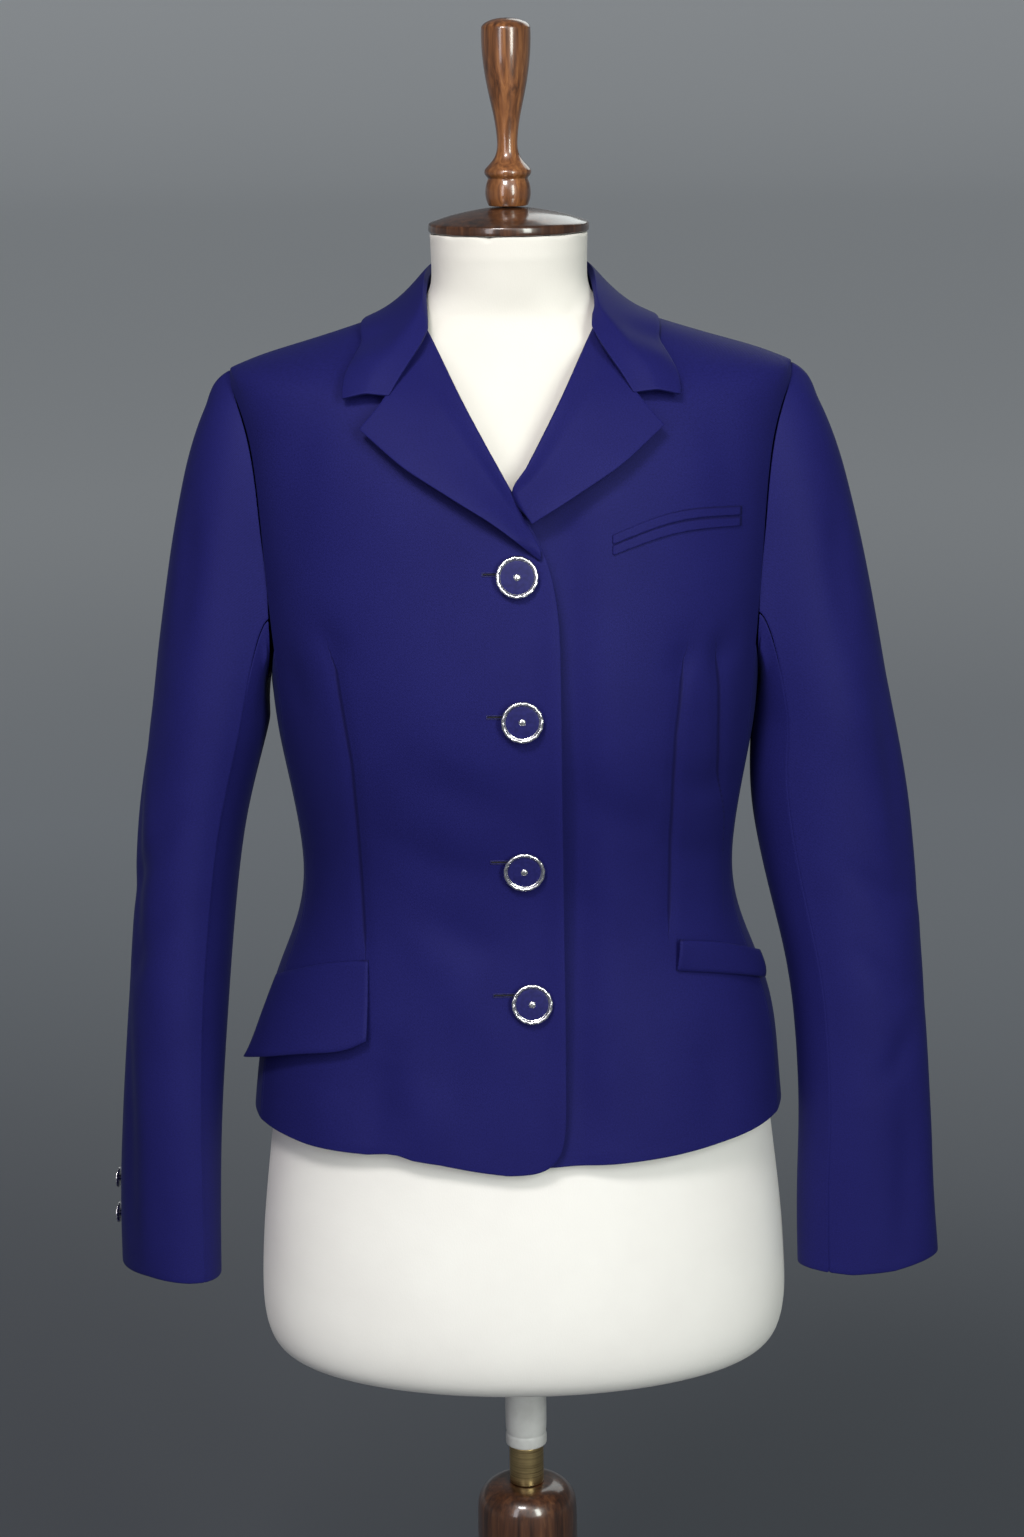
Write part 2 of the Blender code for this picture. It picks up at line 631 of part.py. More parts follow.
CAP_PROFILE = [(0, 0), (53, 0), (54, 1.5), (54, 5), (52, 7.5), (38, 11.5), (20, 15), (0, 16.5)]
CAP_BOTTOM = 1450.0
FINIAL_BOTTOM = 1466.8
FINIAL_PROFILE = [(0, 0), (11, 0), (13.4, 1.5), (15.4, 8), (15.2, 13), (13.3, 17.5), (15.7, 21.5),
                  (15.4, 24), (10.5, 29), (7.3, 35), (6.7, 42), (8.4, 56), (12.8, 76), (15.6, 92),
                  (16.6, 106), (16.4, 115.5), (14.5, 119), (8, 121.2), (0, 122)]
TUBE_BOTTOM, TUBE_TOP, TUBE_RADIUS = 580.0, 654.7, 15.0
POLE_BOTTOM, POLE_RADIUS = 550.3, 12.5
COLUMN_RADIUS, COLUMN_TOP = 36.5, 550.0
BASE_RADIUS, BASE_HEIGHT = 190.0, 30.0


def rod_profile(radius, low, high, edge):
    return [(0, low), (radius - edge, low), (radius, low + edge),
            (radius, high - edge), (radius - edge, high), (0, high)]


def stand():
    to_neck = Matrix.Translation((0, NECK_CENTRE, CAP_BOTTOM))
    to_cap = Matrix.Translation((0, NECK_CENTRE, FINIAL_BOTTOM))
    spun("neck_cap", CAP_PROFILE, WOOD, VARNISHED, steps=24, place=to_neck)
    spun("finial", FINIAL_PROFILE, WOOD, VARNISHED, steps=16, place=to_cap)
    spun("post_sleeve", rod_profile(TUBE_RADIUS, TUBE_BOTTOM, TUBE_TOP, 1), PLASTIC, 0.35, steps=20)
    spun("post", rod_profile(POLE_RADIUS, POLE_BOTTOM, TUBE_BOTTOM - 0.3, 1), STEEL, 0.3, 1.0, steps=20)
    low = BASE_HEIGHT + 0.3
    radius, top = COLUMN_RADIUS, COLUMN_TOP
    column_profile = [(0, low), (50, low), (52, low + 5), (50, low + 12), (40, low + 22), (radius, low + 45),
                      (radius, top - 18), (radius - 2.5, top - 9), (radius - 9, top - 2.5),
                      (radius - 18, top), (0, top)]
    spun("column", column_profile, WOOD, VARNISHED, steps=24)
    base_profile = [(0, 0), (BASE_RADIUS - 3, 0), (BASE_RADIUS, 3), (BASE_RADIUS, 16), (BASE_RADIUS - 6, 22),
                    (BASE_RADIUS - 14, 25), (BASE_RADIUS - 60, BASE_HEIGHT), (0, BASE_HEIGHT)]
    spun("base", base_profile, WOOD, VARNISHED, steps=32)


def main():
    for old in list(bpy.data.objects):
        bpy.data.objects.remove(old, do_unlink=True)
    for side, word in ((RIGHT, "right"), (LEFT, "left")):
        panel(f"front_{word}", side, LEVELS, front_angles, FRONT_COLUMNS, underlap if side == LEFT else None)
        panel(f"back_{word}", side, LEVELS, back_angles, BACK_COLUMNS)
        side_panel(f"side_{word}", side)
        sleeve(side, word)
        cuff_buttons(side, word)
    lapel("lapel_right", RIGHT, 1.0, 13)
    lapel("lapel_left", LEFT, 0.80, 11)
    collar("collar")
    patch("hip_flap_right", RIGHT, HIP_FLAP, FLAP_ENDS, 10, 4, POCKET_SEAT, WALL, FLAP_FLARE, FLAP_CORNER)
    patch("hip_welt_left", LEFT, HIP_WELT, WELT_ENDS, 8, 2, POCKET_SEAT, WELT_THICKNESS)
    patch("chest_jet_upper", LEFT, JET_UPPER, JET_ENDS, 10, 2, JET_SEAT, JET_THICKNESS)
    patch("chest_jet_lower", LEFT, JET_LOWER, JET_ENDS, 10, 2, JET_SEAT, JET_THICKNESS)
    front_buttons()
    torso()
    stand()


main()
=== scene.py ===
# %% [markdown]
# # A cropped blazer on a dress form
#
# This lesson dresses a plain solid model of a fitted women's blazer, its dress form and its
# wooden stand, so that it looks like the real thing in a soft, even studio light. The solid
# model is the frame: it gives every piece its size and its place. Each cell takes one piece
# or one finish, says what it is on the real object, and makes it.

# %% Load the frame
import math
from collections import namedtuple

import bmesh
import bpy
import numpy as np
from mathutils import Matrix, Vector
from mathutils.bvhtree import BVHTree


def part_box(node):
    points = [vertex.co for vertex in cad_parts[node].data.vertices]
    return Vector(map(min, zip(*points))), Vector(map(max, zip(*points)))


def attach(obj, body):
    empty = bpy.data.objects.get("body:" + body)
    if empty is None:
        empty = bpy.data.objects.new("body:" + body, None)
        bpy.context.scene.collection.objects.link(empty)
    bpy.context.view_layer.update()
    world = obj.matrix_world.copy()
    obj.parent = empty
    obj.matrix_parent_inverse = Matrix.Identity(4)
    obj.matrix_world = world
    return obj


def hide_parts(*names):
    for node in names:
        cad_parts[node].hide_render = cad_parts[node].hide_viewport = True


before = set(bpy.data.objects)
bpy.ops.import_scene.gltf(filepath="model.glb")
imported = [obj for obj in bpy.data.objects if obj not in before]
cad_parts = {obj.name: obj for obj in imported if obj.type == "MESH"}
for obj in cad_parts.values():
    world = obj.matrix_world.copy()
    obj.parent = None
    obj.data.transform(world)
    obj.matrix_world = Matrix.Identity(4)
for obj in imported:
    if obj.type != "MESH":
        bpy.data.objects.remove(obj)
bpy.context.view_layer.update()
MM = 0.001
RIGHT, LEFT = -1, 1     # the wearer's right is at -X
print("nodes in the frame:", len(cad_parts))

# %% [markdown]
# ## The camera
# The photograph looks a little down on the jacket from just above its collar. A long lens
# keeps the shoulders and the hem at nearly one scale. The camera is also turned a touch on
# its own axis, which is why the stand seems to lean.

# %% Camera
CAMERA_AT = Vector((-0.0031, -2.15, 1.60))
CAMERA_TILT = math.radians(13.5)
CAMERA_ROLL = 0.015
camera_data = bpy.data.cameras.new("camera")
camera_data.lens = 75
camera_data.sensor_width = 36
camera = bpy.data.objects.new("camera", camera_data)
look_down = Matrix.Rotation(math.pi / 2 - CAMERA_TILT, 4, "X")
camera.matrix_world = Matrix.Translation(CAMERA_AT) @ look_down @ Matrix.Rotation(-CAMERA_ROLL, 4, "Z")
bpy.context.collection.objects.link(camera)
bpy.context.scene.camera = camera
bpy.context.scene.view_settings.view_transform = "Standard"
print("camera height", CAMERA_AT.z, "m, distance", -CAMERA_AT.y, "m")

# %% [markdown]
# ## Light
# Dark blue cloth needs large, soft lights, or its folds turn to black holes. The main one is
# a softbox high above the camera, so that shade gathers beneath the lapels, the flap and the
# arms. Two tall strips stand either side and draw the two long streaks down the varnished
# wood. One more comes from behind and above to part the sleeves from the floor. A very
# broad sun lights the far floor as well as the near, and a pale world fills what is left.

# %% Lights
Lamp = namedtuple("Lamp", "name at aim width height watts colour")
LAMPS = [
    Lamp("main_box", (-0.55, -1.80, 2.95), (0, 0, 1.30), 0.7, 0.45, 39, (1.0, 0.975, 0.965)),
    Lamp("right_box", (1.15, -2.3, 1.9), (0, 0, 1.25), 0.5, 1.7, 43, (0.93, 1.0, 0.93)),
    Lamp("left_box", (-1.25, -2.4, 1.8), (0, 0, 1.15), 0.5, 1.9, 16, (0.98, 0.96, 1.0)),
    Lamp("back_box", (1.1, 2.5, 2.7), (0.2, 0.6, 0.9), 2.0, 1.4, 13, (0.95, 1.0, 0.98)),
]
SUN_STRENGTH = 0.48
SUN_SPREAD = math.radians(50)
SUN_FROM = (0.5, -2.2, 1.4)


def add_lamp(lamp):
    data = bpy.data.lights.new(lamp.name, "AREA")
    data.shape = "RECTANGLE"
    data.size = lamp.width
    data.size_y = lamp.height
    data.energy = lamp.watts
    data.color = lamp.colour
    light = bpy.data.objects.new(lamp.name, data)
    aim = Vector(lamp.aim) - Vector(lamp.at)
    light.matrix_world = Matrix.Translation(lamp.at) @ aim.to_track_quat("-Z", "Y").to_matrix().to_4x4()
    bpy.context.collection.objects.link(light)


for lamp in LAMPS:
    add_lamp(lamp)

sun = bpy.data.lights.new("even_light", "SUN")
sun.energy = SUN_STRENGTH
sun.angle = SUN_SPREAD
sun_object = bpy.data.objects.new("even_light", sun)
sun_object.matrix_world = (-Vector(SUN_FROM)).to_track_quat("-Z", "Y").to_matrix().to_4x4()
bpy.context.collection.objects.link(sun_object)

world = bpy.data.worlds.new("studio")
world.use_nodes = True
world.node_tree.nodes["Background"].inputs["Color"].default_value = (0.80, 0.86, 0.92, 1)
world.node_tree.nodes["Background"].inputs["Strength"].default_value = 0.13
bpy.context.scene.world = world
print("lamps:", ", ".join(lamp.name for lamp in LAMPS))

# %% [markdown]
# ## Small helpers for materials
# A material here is a Principled shader with a few texture nodes before it. The helpers keep
# each recipe short. They start a material, add a node and set its values, make noise or a
# smooth step, multiply two colours, turn a height into a bump, and set up a colour ramp.

# %% Material helpers
def new_material(name, roughness, metallic=0.0):
    material = bpy.data.materials.new(name)
    material.use_nodes = True
    shader = material.node_tree.nodes["Principled BSDF"]
    shader.inputs["Roughness"].default_value = roughness
    shader.inputs["Metallic"].default_value = metallic
    return material, material.node_tree, shader


def add_node(tree, kind, settings=None, **inputs):
    """Add a node, set its own settings, and set or join its inputs by name."""
    node = tree.nodes.new(kind)
    for key, value in (settings or {}).items():
        setattr(node, key, value)
    for key, value in inputs.items():
        by_number = key[0] == "i" and key[1:].isdigit()
        socket = node.inputs[int(key[1:]) if by_number else key.replace("_", " ")]
        if isinstance(value, bpy.types.NodeSocket):
            tree.links.new(value, socket)
        else:
            socket.default_value = value
    return node


def object_place(tree):
    return add_node(tree, "ShaderNodeTexCoord").outputs["Object"]


def add_noise(tree, place, scale, detail=4.0, roughness=0.6, **more):
    return add_node(tree, "ShaderNodeTexNoise", Vector=place, Scale=scale, Detail=detail,
                    Roughness=roughness, **more).outputs["Fac"]


def add_math(tree, operation, *values):
    inputs = {f"i{number}": value for number, value in enumerate(values)}
    return add_node(tree, "ShaderNodeMath", {"operation": operation}, **inputs).outputs[0]


def add_range(tree, value, before, after, interpolation="LINEAR"):
    """Map a value from one range, given as a pair, to another."""
    mapped = add_node(tree, "ShaderNodeMapRange", {"interpolation_type": interpolation}, Value=value,
                      From_Min=before[0], From_Max=before[1], To_Min=after[0], To_Max=after[1])
    return mapped.outputs["Result"]


def mix_colours(tree, share, first, second, blend="MIX"):
    """Blend two colours, each a socket or a plain colour."""
    return add_node(tree, "ShaderNodeMix", {"data_type": "RGBA", "blend_type": blend}, i0=share,
                    i6=first, i7=second).outputs[2]


def add_bump(tree, shader, height, strength, distance, below=None):
    bump = add_node(tree, "ShaderNodeBump", Height=height, Strength=strength, Distance=distance)
    if below:
        tree.links.new(below.outputs["Normal"], bump.inputs["Normal"])
    tree.links.new(bump.outputs["Normal"], shader.inputs["Normal"])
    return bump


def add_ramp(tree, value, stops):
    """A colour ramp from a short list of (place, colour) stops."""
    ramp = tree.nodes.new("ShaderNodeValToRGB")
    while len(ramp.color_ramp.elements) < len(stops):
        ramp.color_ramp.elements.new(0.5)
    for element, (place, colour) in zip(ramp.color_ramp.elements, stops):
        element.position = place
        element.color = (*colour, 1)
    tree.links.new(value, ramp.inputs["Fac"])
    return ramp.outputs["Color"]


# %% [markdown]
# ## The floor
# The stand is on a plain pale floor. It is one wide disc whose far rim curves up a little,
# as paper does in a studio, so that no horizon crosses the picture. The disc is a filled
# circle, and its open edge is extruded outwards and up, ring by ring. Its paint is darkest
# round the stand and grows paler away from it: painted shade near the stand and painted light
# further out, which do the work of a lamp aimed at the background.

# %% Floor
FLOOR_RADIUS = 24.0
RIM_RISE = [(2.0, 0.15), (2.0, 0.55), (2.0, 1.1), (2.0, 1.9)]     # metres out and up, ring by ring
FLOOR_FADE = (0.5, 9.0)       # metres from the stand between which the paint grows paler
# painted shade near the stand, painted light far from it
FLOOR_PAINTED_SHADING = [(0.0, (0.085, 0.092, 0.108)), (0.40, (0.47, 0.50, 0.54)), (1.0, (0.90, 0.93, 0.95))]

bm = bmesh.new()
bmesh.ops.create_circle(bm, cap_ends=True, segments=96, radius=FLOOR_RADIUS)
rim = [edge for edge in bm.edges if edge.is_boundary]
radius = FLOOR_RADIUS
for out, up in RIM_RISE:
    grown = bmesh.ops.extrude_edge_only(bm, edges=rim)["geom"]
    rim = [part for part in grown if isinstance(part, bmesh.types.BMEdge)]
    points = [part for part in grown if isinstance(part, bmesh.types.BMVert)]
    bmesh.ops.scale(bm, vec=((radius + out) / radius, (radius + out) / radius, 1), verts=points)
    bmesh.ops.translate(bm, vec=(0, 0, up), verts=points)
    rim = [edge for edge in rim if edge.is_boundary]
    radius += out
bmesh.ops.recalc_face_normals(bm, faces=bm.faces)
floor_mesh = bpy.data.meshes.new("floor")
bm.to_mesh(floor_mesh)
bm.free()
floor_mesh.shade_smooth()
floor = bpy.data.objects.new("floor", floor_mesh)
bpy.context.collection.objects.link(floor)
floor_painted_shading, floor_tree, floor_shader = new_material("floor_painted_shading", 0.9)
reach = add_node(floor_tree, "ShaderNodeVectorMath", {"operation": "LENGTH"},
                 i0=object_place(floor_tree)).outputs["Value"]
pale = add_range(floor_tree, reach, FLOOR_FADE, (0.0, 1.0), "SMOOTHSTEP")
floor_tree.links.new(add_ramp(floor_tree, pale, FLOOR_PAINTED_SHADING), floor_shader.inputs["Base Color"])
floor_mesh.materials.append(floor_painted_shading)
print("floor", round(2 * radius), "m across")

# %% [markdown]
# ## The cloth
# The jacket is a fine, firm twill in a deep royal blue. Three things make it read as cloth:
# the diagonal ribs of the weave, which are under a millimetre apart, a faint unevenness of
# the dye, and a soft sheen where the surface turns away from the eye. The ribs follow the
# piece's own map, in metres along the cloth, so that they keep one scale on every piece.
# Sewn lines inside a panel, such as a dart, come from an attribute called stitch. Its first
# two parts hold the signed distance to one or two lines, in millimetres, and the third says
# how strong they are: a thin valley is drawn where a distance passes through zero. The valley
# is a bump, and the colour is darkened along it as well: painted shade in the sewn line.

# %% Cloth material
RIB_SPACING = 0.0009
WAVE_UNIT = 0.314       # a wave texture of scale 1 repeats after this distance
SEAM_WIDTH = 2.1        # millimetres from a sewn line over which its valley is drawn
SEAM_DEPTH = 0.85
DEEP_BLUE = (0.0100, 0.0094, 0.090, 1)
CLEAR_BLUE = (0.0138, 0.0138, 0.118, 1)
# painted shade for the valleys of sewn lines
SEAM_SHADE_BLUE = (0.0060, 0.0052, 0.046, 1)


def cloth_material(name, turn_degrees):
    material, tree, shader = new_material(name, 0.62)
    shader.inputs["Specular IOR Level"].default_value = 0.09
    shader.inputs["Sheen Weight"].default_value = 0.025
    shader.inputs["Sheen Roughness"].default_value = 0.42
    shader.inputs["Sheen Tint"].default_value = (0.42, 0.58, 1.0, 1)
    place = add_node(tree, "ShaderNodeUVMap", {"uv_map": "cloth_map"}).outputs["UV"]
    turned = add_node(tree, "ShaderNodeMapping", Vector=place,
                      Rotation=(0, 0, math.radians(turn_degrees))).outputs["Vector"]
    ribs = add_node(tree, "ShaderNodeTexWave", {"wave_type": "BANDS", "bands_direction": "X"},
                    Vector=turned, Scale=WAVE_UNIT / RIB_SPACING, Distortion=1.2, Detail=2.0)
    fuzz = add_noise(tree, place, 900.0, 3.0, 0.75)
    dye = add_noise(tree, place, 14.0, 5.0, 0.62)
    stitch = add_node(tree, "ShaderNodeAttribute", {"attribute_name": "stitch"}).outputs["Vector"]
    parts = add_node(tree, "ShaderNodeSeparateXYZ", Vector=stitch)
    first = add_math(tree, "ABSOLUTE", parts.outputs["X"])
    second = add_math(tree, "ABSOLUTE", parts.outputs["Y"])
    nearest = add_math(tree, "MINIMUM", first, second)
    depth = add_range(tree, nearest, (0.0, SEAM_WIDTH), (SEAM_DEPTH, 0.0), "SMOOTHSTEP")
    shown = add_math(tree, "MULTIPLY", depth, parts.outputs["Z"])
    valley = add_math(tree, "SUBTRACT", 1.0, shown)
    mottled = mix_colours(tree, dye, DEEP_BLUE, CLEAR_BLUE)
    fleck = add_ramp(tree, fuzz, [(0.30, (0.55, 0.55, 0.60)), (0.62, (1.0, 1.0, 1.0))])
    flecked = mix_colours(tree, 0.8, mottled, fleck, "MULTIPLY")
    # painted shade: the colour darkens along the valley of each sewn line
    seam_shaded = mix_colours(tree, valley, SEAM_SHADE_BLUE, flecked)
    tree.links.new(seam_shaded, shader.inputs["Base Color"])
    weave = add_bump(tree, shader, ribs.outputs["Fac"], 0.20, 0.00022)
    fluff = add_bump(tree, shader, fuzz, 0.18, 0.00020, weave)
    add_bump(tree, shader, valley, 0.6, 0.0007, fluff)
    return material


cloth_body = cloth_material("blue_twill", 63)
cloth_collar = cloth_material("blue_twill_collar", 20)
print("ribs of the weave every", RIB_SPACING * 1000, "mm")

# %% [markdown]
# ## From solid to cloth
# Each panel of the frame is a wall of flat facets. A copy of it becomes cloth in four steps:
# merge the loose triangles, join them back to quads, mark the cut edges with a crease so that
# they stay crisp, and let Subdivision Surface round the rest. Copying the frame's own piece
# keeps the cut exactly where the pattern has it. The result is applied, so the folds
# can then be pushed into its fine mesh.

# %% Cloth helpers
MERGE_DISTANCE = 0.00001
FLAT_ENOUGH = math.radians(40)      # triangles that meet flatter than this are joined
SQUARE_ENOUGH = math.radians(140)
CLOTH_RIM_ANGLE = math.radians(52)
CLOTH_RIM_CREASE = 0.55


def mesh_object(name, bm, material):
    """Finish a bmesh as an object with one material, smooth shaded."""
    mesh = bpy.data.meshes.new(name)
    bm.to_mesh(mesh)
    bm.free()
    mesh.materials.append(material)
    mesh.shade_smooth()
    piece = bpy.data.objects.new(name, mesh)
    bpy.context.collection.objects.link(piece)
    return piece


def apply_modifiers(piece):
    """Swap the piece's mesh for what its modifiers make of it."""
    graph = bpy.context.evaluated_depsgraph_get()
    finished = bpy.data.meshes.new_from_object(piece.evaluated_get(graph))
    piece.modifiers.clear()
    old = piece.data
    piece.data = finished
    finished.name = old.name
    bpy.data.meshes.remove(old)
    piece.data.shade_smooth()
    return piece


def rounded(piece, levels):
    smooth = piece.modifiers.new("smooth", "SUBSURF")
    smooth.levels = smooth.render_levels = levels
    return apply_modifiers(piece)


def smooth_copy(name, node, material, levels, rim_crease, rim_angle):
    """A copy of a node of the frame, merged, joined to quads and rounded."""
    bm = bmesh.new()
    bm.from_mesh(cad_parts[node].data)
    bmesh.ops.remove_doubles(bm, verts=bm.verts, dist=MERGE_DISTANCE)
    bmesh.ops.join_triangles(bm, faces=bm.faces, angle_face_threshold=FLAT_ENOUGH,
                             angle_shape_threshold=SQUARE_ENOUGH)
    crease = bm.edges.layers.float.get("crease_edge") or bm.edges.layers.float.new("crease_edge")
    for edge in bm.edges:
        if edge.is_manifold and edge.calc_face_angle() > rim_angle:
            edge[crease] = rim_crease
    for face in bm.faces:
        face.material_index = 0
    return rounded(mesh_object(name, bm, material), levels)


def cloth_from(node, material, levels=3):
    return smooth_copy("cloth_" + node, node, material, levels, CLOTH_RIM_CREASE, CLOTH_RIM_ANGLE)


def points_of(piece):
    points = np.zeros(len(piece.data.vertices) * 3, np.float32)
    piece.data.vertices.foreach_get("co", points)
    return points.reshape(-1, 3).astype(float)


def set_points(piece, points):
    piece.data.vertices.foreach_set("co", points.astype(np.float32).ravel())
    piece.data.update()


def set_map(piece, across, along):
    """Write the cloth's own map: metres across and along the piece, for each corner."""
    corners = np.zeros(len(piece.data.loops), np.int32)
    piece.data.loops.foreach_get("vertex_index", corners)
    layer = piece.data.uv_layers.get("cloth_map") or piece.data.uv_layers.new(name="cloth_map")
    layer.data.foreach_set("uv", np.stack([across[corners], along[corners]], 1).astype(np.float32).ravel())


def set_stitch(piece, first, second, strength):
    """Write the signed distances to two sewn lines, in millimetres, and how strongly their valley and its
    painted shade show.
    """
    marks = piece.data.attributes
    layer = marks.get("stitch") or marks.new("stitch", "FLOAT_VECTOR", "POINT")
    layer.data.foreach_set("vector", np.stack([first, second, strength], 1).astype(np.float32).ravel())


PANELS = ["front_right", "front_left", "side_right", "side_left", "back_right", "back_left"]
cloth = {node: cloth_from(node, cloth_body) for node in PANELS}
SMALL_CLOTH = ["hip_flap_right", "hip_welt_left", "chest_jet_upper", "chest_jet_lower"]
cloth.update({node: cloth_from(node, cloth_body, 2) for node in SMALL_CLOTH})
cloth.update({node: cloth_from(node, cloth_collar) for node in ("lapel_right", "lapel_left", "collar")})
SLEEVES = ["sleeve_top_right", "sleeve_under_right", "sleeve_top_left", "sleeve_under_left"]
cloth.update({node: cloth_from(node, cloth_body) for node in SLEEVES})
print("faces of cloth:", sum(len(piece.data.polygons) for piece in cloth.values()))

# %% [markdown]
# ## Maps for the weave
# On the body the map wraps the cloth round an upright axis, and on each sleeve round a line
# down the middle of the arm. The lapels and the collar are cut on another grain, so theirs is
# the flat front view, which lets their ribs run a different way, as they do on the real one.

# %% Weave maps
BODY_RADIUS = 0.15
SLEEVE_RADIUS = 0.048
UNSEWN = 40.0       # a distance to a sewn line that is too far to show, in millimetres


def sleeve_middle(side, height):
    """The line down the middle of the arm, in millimetres."""
    return np.stack([side * np.interp(height, [720, 930, 1120, 1360], [249, 238, 212, 170]),
                     np.interp(height, [720, 930, 1120], [-22, -8, 0])], 1)


def side_of(node):
    return LEFT if node.endswith("left") else RIGHT


for node, piece in cloth.items():
    points = points_of(piece)
    if node.startswith("sleeve"):
        side = side_of(node)
        out = points[:, :2] / MM - sleeve_middle(side, points[:, 2] / MM)
        set_map(piece, np.arctan2(out[:, 1], side * out[:, 0]) * SLEEVE_RADIUS, points[:, 2])
    elif node.startswith("lapel") or node == "collar":
        set_map(piece, points[:, 0], points[:, 2] + points[:, 1])
    else:
        set_map(piece, np.arctan2(points[:, 0], -points[:, 1]) * BODY_RADIUS, points[:, 2])
    far = np.full(len(points), UNSEWN)
    set_stitch(piece, far, far, np.zeros(len(points)))
print("maps written for", len(cloth), "pieces")

# %% [markdown]
# ## Soft folds
# Even a jacket this well fitted has hollows and ridges: a soft hollow across the waist
# between the buttons, drag lines at the inside of the elbows, a dip near the hem. Each one is
# a stroke: a path over the front or the back, a depth, and a width. Points near the
# path are pushed in or out by a bell-shaped amount that fades at the stroke's ends. Both
# skins of the wall move together, so that the cloth keeps its thickness, and what lies on the
# front moves with it. Two more strokes belong to one front each: a ridge down the lapping
# edge of the right front, and a hollow in the left front beneath it.

# %% Fold strokes on the body
Stroke = namedtuple("Stroke", "depth width path")       # millimetres; a negative depth is a ridge
FRONT_STROKES = [
    Stroke(2.2, 17, [(-62, 1108), (-30, 1092), (-8, 1085)]),
    Stroke(1.2, 13, [(-88, 1062), (-52, 1044), (-14, 1037)]),
    Stroke(-1.3, 17, [(-84, 1012), (-48, 968), (-10, 908)]),
    Stroke(1.5, 14, [(-60, 1003), (-32, 990), (-12, 984)]),
    Stroke(3.2, 15, [(-92, 908), (-97, 880), (-101, 842)]),
    Stroke(-1.6, 16, [(-70, 900), (-62, 868), (-60, 838)]),
    Stroke(-1.4, 15, [(-132, 885), (-136, 860), (-138, 838)]),
    Stroke(1.8, 11, [(-128, 1205), (-121, 1192), (-116, 1180)]),
    Stroke(1.4, 10, [(-150, 1178), (-146, 1160), (-144, 1140)]),
    Stroke(2.0, 11, [(113, 1192), (111, 1180), (109, 1166)]),
    Stroke(2.0, 10, [(141, 1194), (138, 1182), (135, 1168)]),
    Stroke(1.5, 12, [(106, 1100), (122, 1090), (140, 1086)]),
    Stroke(1.3, 12, [(104, 1052), (120, 1040), (138, 1032)]),
    Stroke(1.7, 16, [(40, 1100), (66, 1075), (92, 1062)]),
    Stroke(-1.1, 15, [(42, 1050), (66, 1018), (84, 988)]),
    Stroke(1.6, 16, [(36, 912), (44, 878), (50, 842)]),
    Stroke(-1.2, 16, [(78, 930), (92, 890), (98, 846)]),
    Stroke(1.6, 15, [(128, 915), (134, 880), (136, 846)]),
    Stroke(1.3, 14, [(-134, 1336), (-140, 1300), (-146, 1258)]),
    Stroke(1.3, 14, [(134, 1336), (141, 1302), (148, 1262)]),
]
BACK_STROKES = [
    Stroke(2.0, 16, [(-96, 1040), (-50, 1024), (-6, 1030)]),
    Stroke(1.7, 15, [(8, 1052), (52, 1040), (100, 1056)]),
    Stroke(1.5, 15, [(18, 1008), (54, 998), (88, 1004)]),
    Stroke(2.1, 18, [(-126, 1250), (-112, 1200), (-98, 1140)]),
    Stroke(1.9, 18, [(124, 1262), (110, 1205), (100, 1150)]),
    Stroke(-1.5, 18, [(-70, 960), (-82, 900), (-86, 846)]),
    Stroke(-1.3, 18, [(66, 950), (74, 895), (76, 848)]),
    Stroke(1.8, 16, [(-28, 930), (-34, 890), (-36, 846)]),
]
EDGE_STROKES = {
    "front_right": [Stroke(-5.0, 11, [(26, 1245), (30, 1100), (30, 850)])],
    "front_left": [Stroke(6.5, 15, [(34, 1262), (38, 1100), (37, 830)])],
}
FOLD_GAIN = 1.25        # all the free folds are pressed this much harder than the table says
DART_HOLLOW = 1.1       # depth of the soft groove along a dart
DART_HOLLOW_WIDTH = 5.0
BODY_HALF_WIDTH, BODY_HALF_DEPTH = 0.180, 0.120
FRONT_AT = (5, 45)      # millimetres before or behind the middle over which a stroke fades in


def near_path(across, height, path):
    """For each point, how far the path is and how far along it, from 0 to 1, its nearest spot is."""
    path = np.array(path, float)
    lengths = np.linalg.norm(np.diff(path, axis=0), axis=1)
    ends = np.concatenate([[0], np.cumsum(lengths)])
    nearest = np.full(len(across), 1e9)
    place = np.zeros(len(across))
    for index, start in enumerate(path[:-1]):
        step = path[index + 1] - start
        share = ((across - start[0]) * step[0] + (height - start[1]) * step[1]) / (step @ step)
        share = np.clip(share, 0, 1)
        away = np.hypot(across - start[0] - share * step[0], height - start[1] - share * step[1])
        closer = away < nearest
        nearest = np.where(closer, away, nearest)
        place = np.where(closer, (ends[index] + share * lengths[index]) / ends[-1], place)
    return nearest, place


def stroke_push(across, height, stroke):
    """How far a stroke pushes each point in, for points given as across and height in mm."""
    nearest, place = near_path(across, height, stroke.path)
    fade = np.sin(np.clip(place * 0.8 + 0.1, 0, 1) * math.pi) ** 0.8
    return stroke.depth * fade * bell(nearest, 0, stroke.width)


def smooth_share(value, low, high):
    part = np.clip((value - low) / (high - low), 0, 1)
    return part * part * (3 - 2 * part)


def bell(value, middle, reach):
    return np.exp(-((value - middle) / reach) ** 2)


def outward_of(points):
    """The level direction away from the middle of the body, for points in metres."""
    outward = np.stack([points[:, 0] / BODY_HALF_WIDTH ** 2, points[:, 1] / BODY_HALF_DEPTH ** 2], 1)
    return outward / np.linalg.norm(outward, axis=1, keepdims=True)


